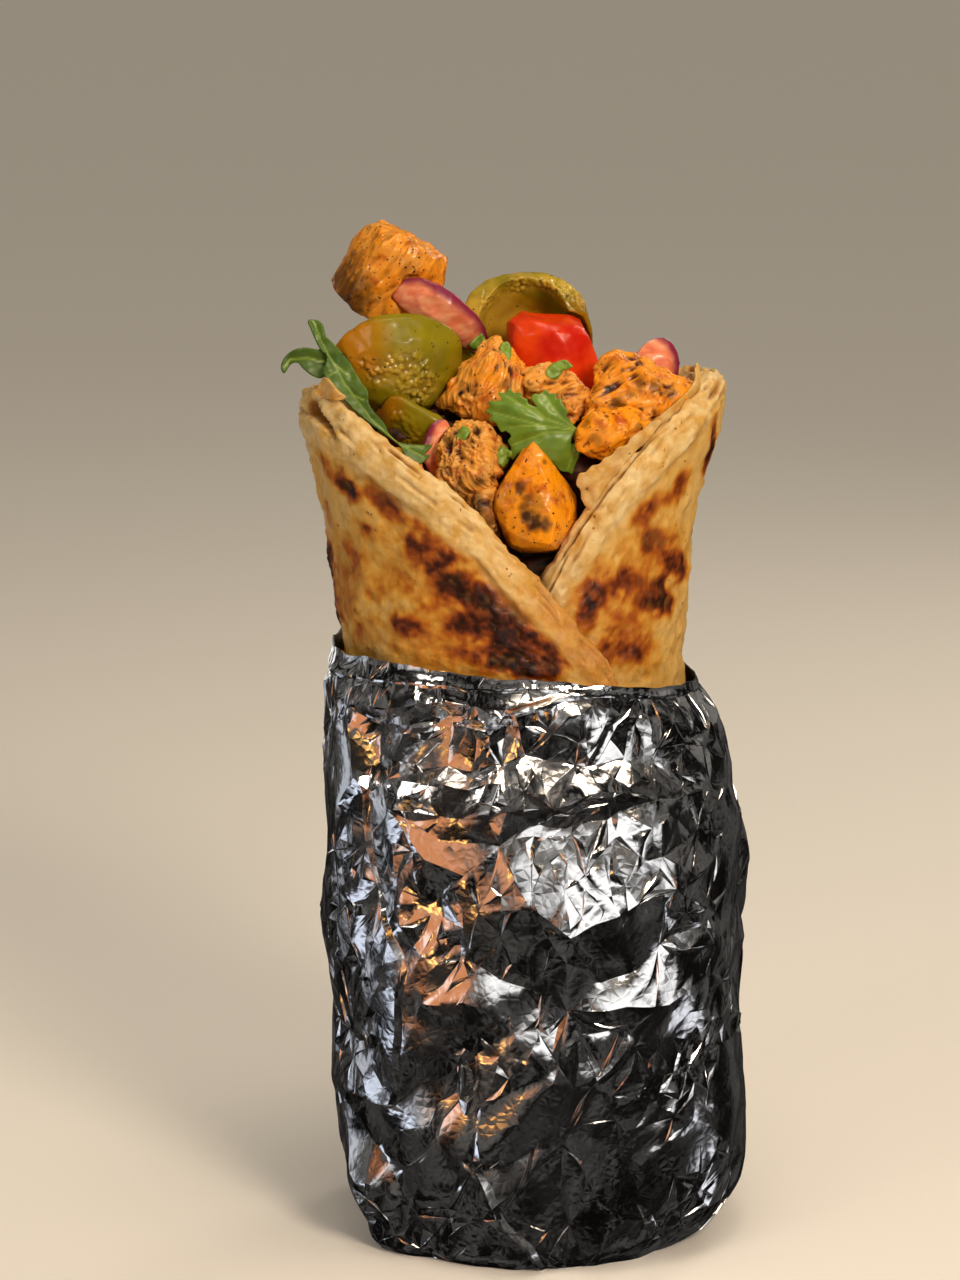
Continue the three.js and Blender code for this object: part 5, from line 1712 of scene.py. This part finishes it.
def laid_bits(name, outlines, tree, seed, held_at=None, **values):
    """Thin curled bits as one mesh, each just in front of what its pixels meet, or level with its holds."""
    all_points, all_faces, count = [], [], 0
    for k, outline in enumerate(outlines):
        pixels, faces = filled_outline(outline, BIT_SPACING)
        middle = spot_under(tree, np.mean(outline, axis=0))[1]
        met = np.array([spot_under(tree, p)[1] for p in pixels])
        depth = np.clip(met, middle - BIT_REACH, middle + BIT_REACH)
        depth = 0.5 * depth + 0.5 * np.median(depth)
        if held_at:
            holds = [spot_under(tree, pixel)[1] for pixel in held_at[k]]
            depth = np.interp(pixels[:, 0], [pixel[0] for pixel in held_at[k]], holds)
        points = points_at_depth(pixels, depth)
        curl = BIT_LIFT + lumpy(points, (0.6, 2.5, seed + k), (0.3, 1, seed + k))
        all_faces += [[i + count for i in face] for face in faces]
        all_points.append(points - VIEW_AHEAD * curl[:, None])
        count += len(points)
    all_points = np.concatenate(all_points)
    uneven = 0.25 * noise(all_points, 1.8, seed)
    values = {label: value + uneven for label, value in values.items()}
    return thin_sheet(name, all_points, all_faces, BIT_THICKNESS, **values)


heap = surface_tree(*[piece.data for name, piece in pieces.items() if name != "foil_wrap_sheet"])
mesh = laid_bits("chopped_coriander", HERB_BITS, heap, 85, vein=0.3, deep=0.1)
finish_piece("chopped_coriander", mesh, coriander)
# the flakes carry a little painted hollow shade all over
mesh = laid_bits("dough_flakes", DOUGH_FLAKES, heap, 95, HELD_AT, toast=0.15, rim=0.6, hollow=0.15)
finish_piece("dough_flakes", mesh, dough)

# %% [markdown]
# ## Ground spice
# Coarse pepper and chilli cling to the chicken by the hundred. Geometry Nodes strew them: points on the
# surface, a small faceted grain on each, lying along it and sized at random from a fixed seed, and all of
# it made real at the end so that the export keeps it.

# %% Strewn grains
grains = bpy.data.node_groups.new("strewn grains", "GeometryNodeTree")
for label, kind in [
    ("Surface", "NodeSocketGeometry"),
    ("Grains per m2", "NodeSocketFloat"),
    ("Smallest", "NodeSocketVector"),
    ("Largest", "NodeSocketVector"),
    ("Seed", "NodeSocketInt"),
    ("Material", "NodeSocketMaterial"),
]:
    grains.interface.new_socket(label, in_out="INPUT", socket_type=kind)
grains.interface.new_socket("Grains", in_out="OUTPUT", socket_type="NodeSocketGeometry")
entry = add_node(grains, "NodeGroupInput").outputs
inputs = {"Mesh": entry["Surface"], "Density": entry["Grains per m2"], "Seed": entry["Seed"]}
strewn = add_node(grains, "GeometryNodeDistributePointsOnFaces", inputs)
inputs = {0: entry["Smallest"], 1: entry["Largest"], "Seed": entry["Seed"]}
size = add_node(grains, "FunctionNodeRandomValue", inputs, 0, data_type="FLOAT_VECTOR")
grain = add_node(grains, "GeometryNodeMeshIcoSphere", {"Radius": 1, "Subdivisions": 1}, "Mesh")
inputs = {
    "Points": strewn.outputs["Points"],
    "Instance": grain,
    "Rotation": strewn.outputs["Rotation"],
    "Scale": size,
}
placed = add_node(grains, "GeometryNodeInstanceOnPoints", inputs, "Instances")
real = add_node(grains, "GeometryNodeRealizeInstances", {"Geometry": placed}, "Geometry")
inputs = {"Geometry": real, "Material": entry["Material"]}
coated = add_node(grains, "GeometryNodeSetMaterial", inputs, "Geometry")
add_node(grains, "NodeGroupOutput", {"Grains": coated})
print("strewn grains:", len(grains.nodes), "nodes")

# %% [markdown]
# The tree works on all the chicken at once, because one even scatter looks more natural than eleven. Pepper
# is a dry cracked husk, dull and dark, with some red-brown chilli in it.

# %% Pepper grains on the chicken
GRAINS_PER_CM2 = 9
SMALLEST_GRAIN = (0.08, 0.06, 0.05)
LARGEST_GRAIN = (0.26, 0.2, 0.12)
GRAIN_SEED = 3


def strew(surface, material, per_cm2, smallest, largest, seed):
    """A mesh of grains on a surface, with half sizes in millimetres."""
    carrier = bpy.data.objects.new("carrier", surface)
    scene.collection.objects.link(carrier)
    modifier = carrier.modifiers.new("grains", "NODES")
    modifier.node_group = grains
    values = {
        "Grains per m2": per_cm2 * 1e4,
        "Smallest": [s * MM for s in smallest],
        "Largest": [s * MM for s in largest],
        "Seed": seed,
        "Material": material,
    }
    for socket in grains.interface.items_tree:
        if socket.name in values:
            modifier[socket.identifier] = values[socket.name]
    evaluated = carrier.evaluated_get(bpy.context.evaluated_depsgraph_get())
    result = bpy.data.meshes.new_from_object(evaluated)
    bpy.data.objects.remove(carrier)
    return result


ground_pepper, tree = new_material("coarse ground black pepper")
mixed = spots(tree, 1.5, 0.45, 0.6)
husk = add_node(tree, "ShaderNodeMix", {0: mixed, 6: "#1c0d06", 7: "#5a2309"}, 2, data_type="RGBA")
surface = add_node(tree, "ShaderNodeBsdfPrincipled", {"Base Color": husk, "Roughness": 0.6}, "BSDF")
add_node(tree, "ShaderNodeOutputMaterial", {"Surface": surface})

points, triangles = joined(*[pieces[f"{node}_meat"].data for node in CHICKEN])
all_chicken = mesh_from("all chicken", points, triangles.tolist())
mesh = strew(all_chicken, ground_pepper, GRAINS_PER_CM2, SMALLEST_GRAIN, LARGEST_GRAIN, GRAIN_SEED)
finish_piece("ground_spice", mesh, ground_pepper)
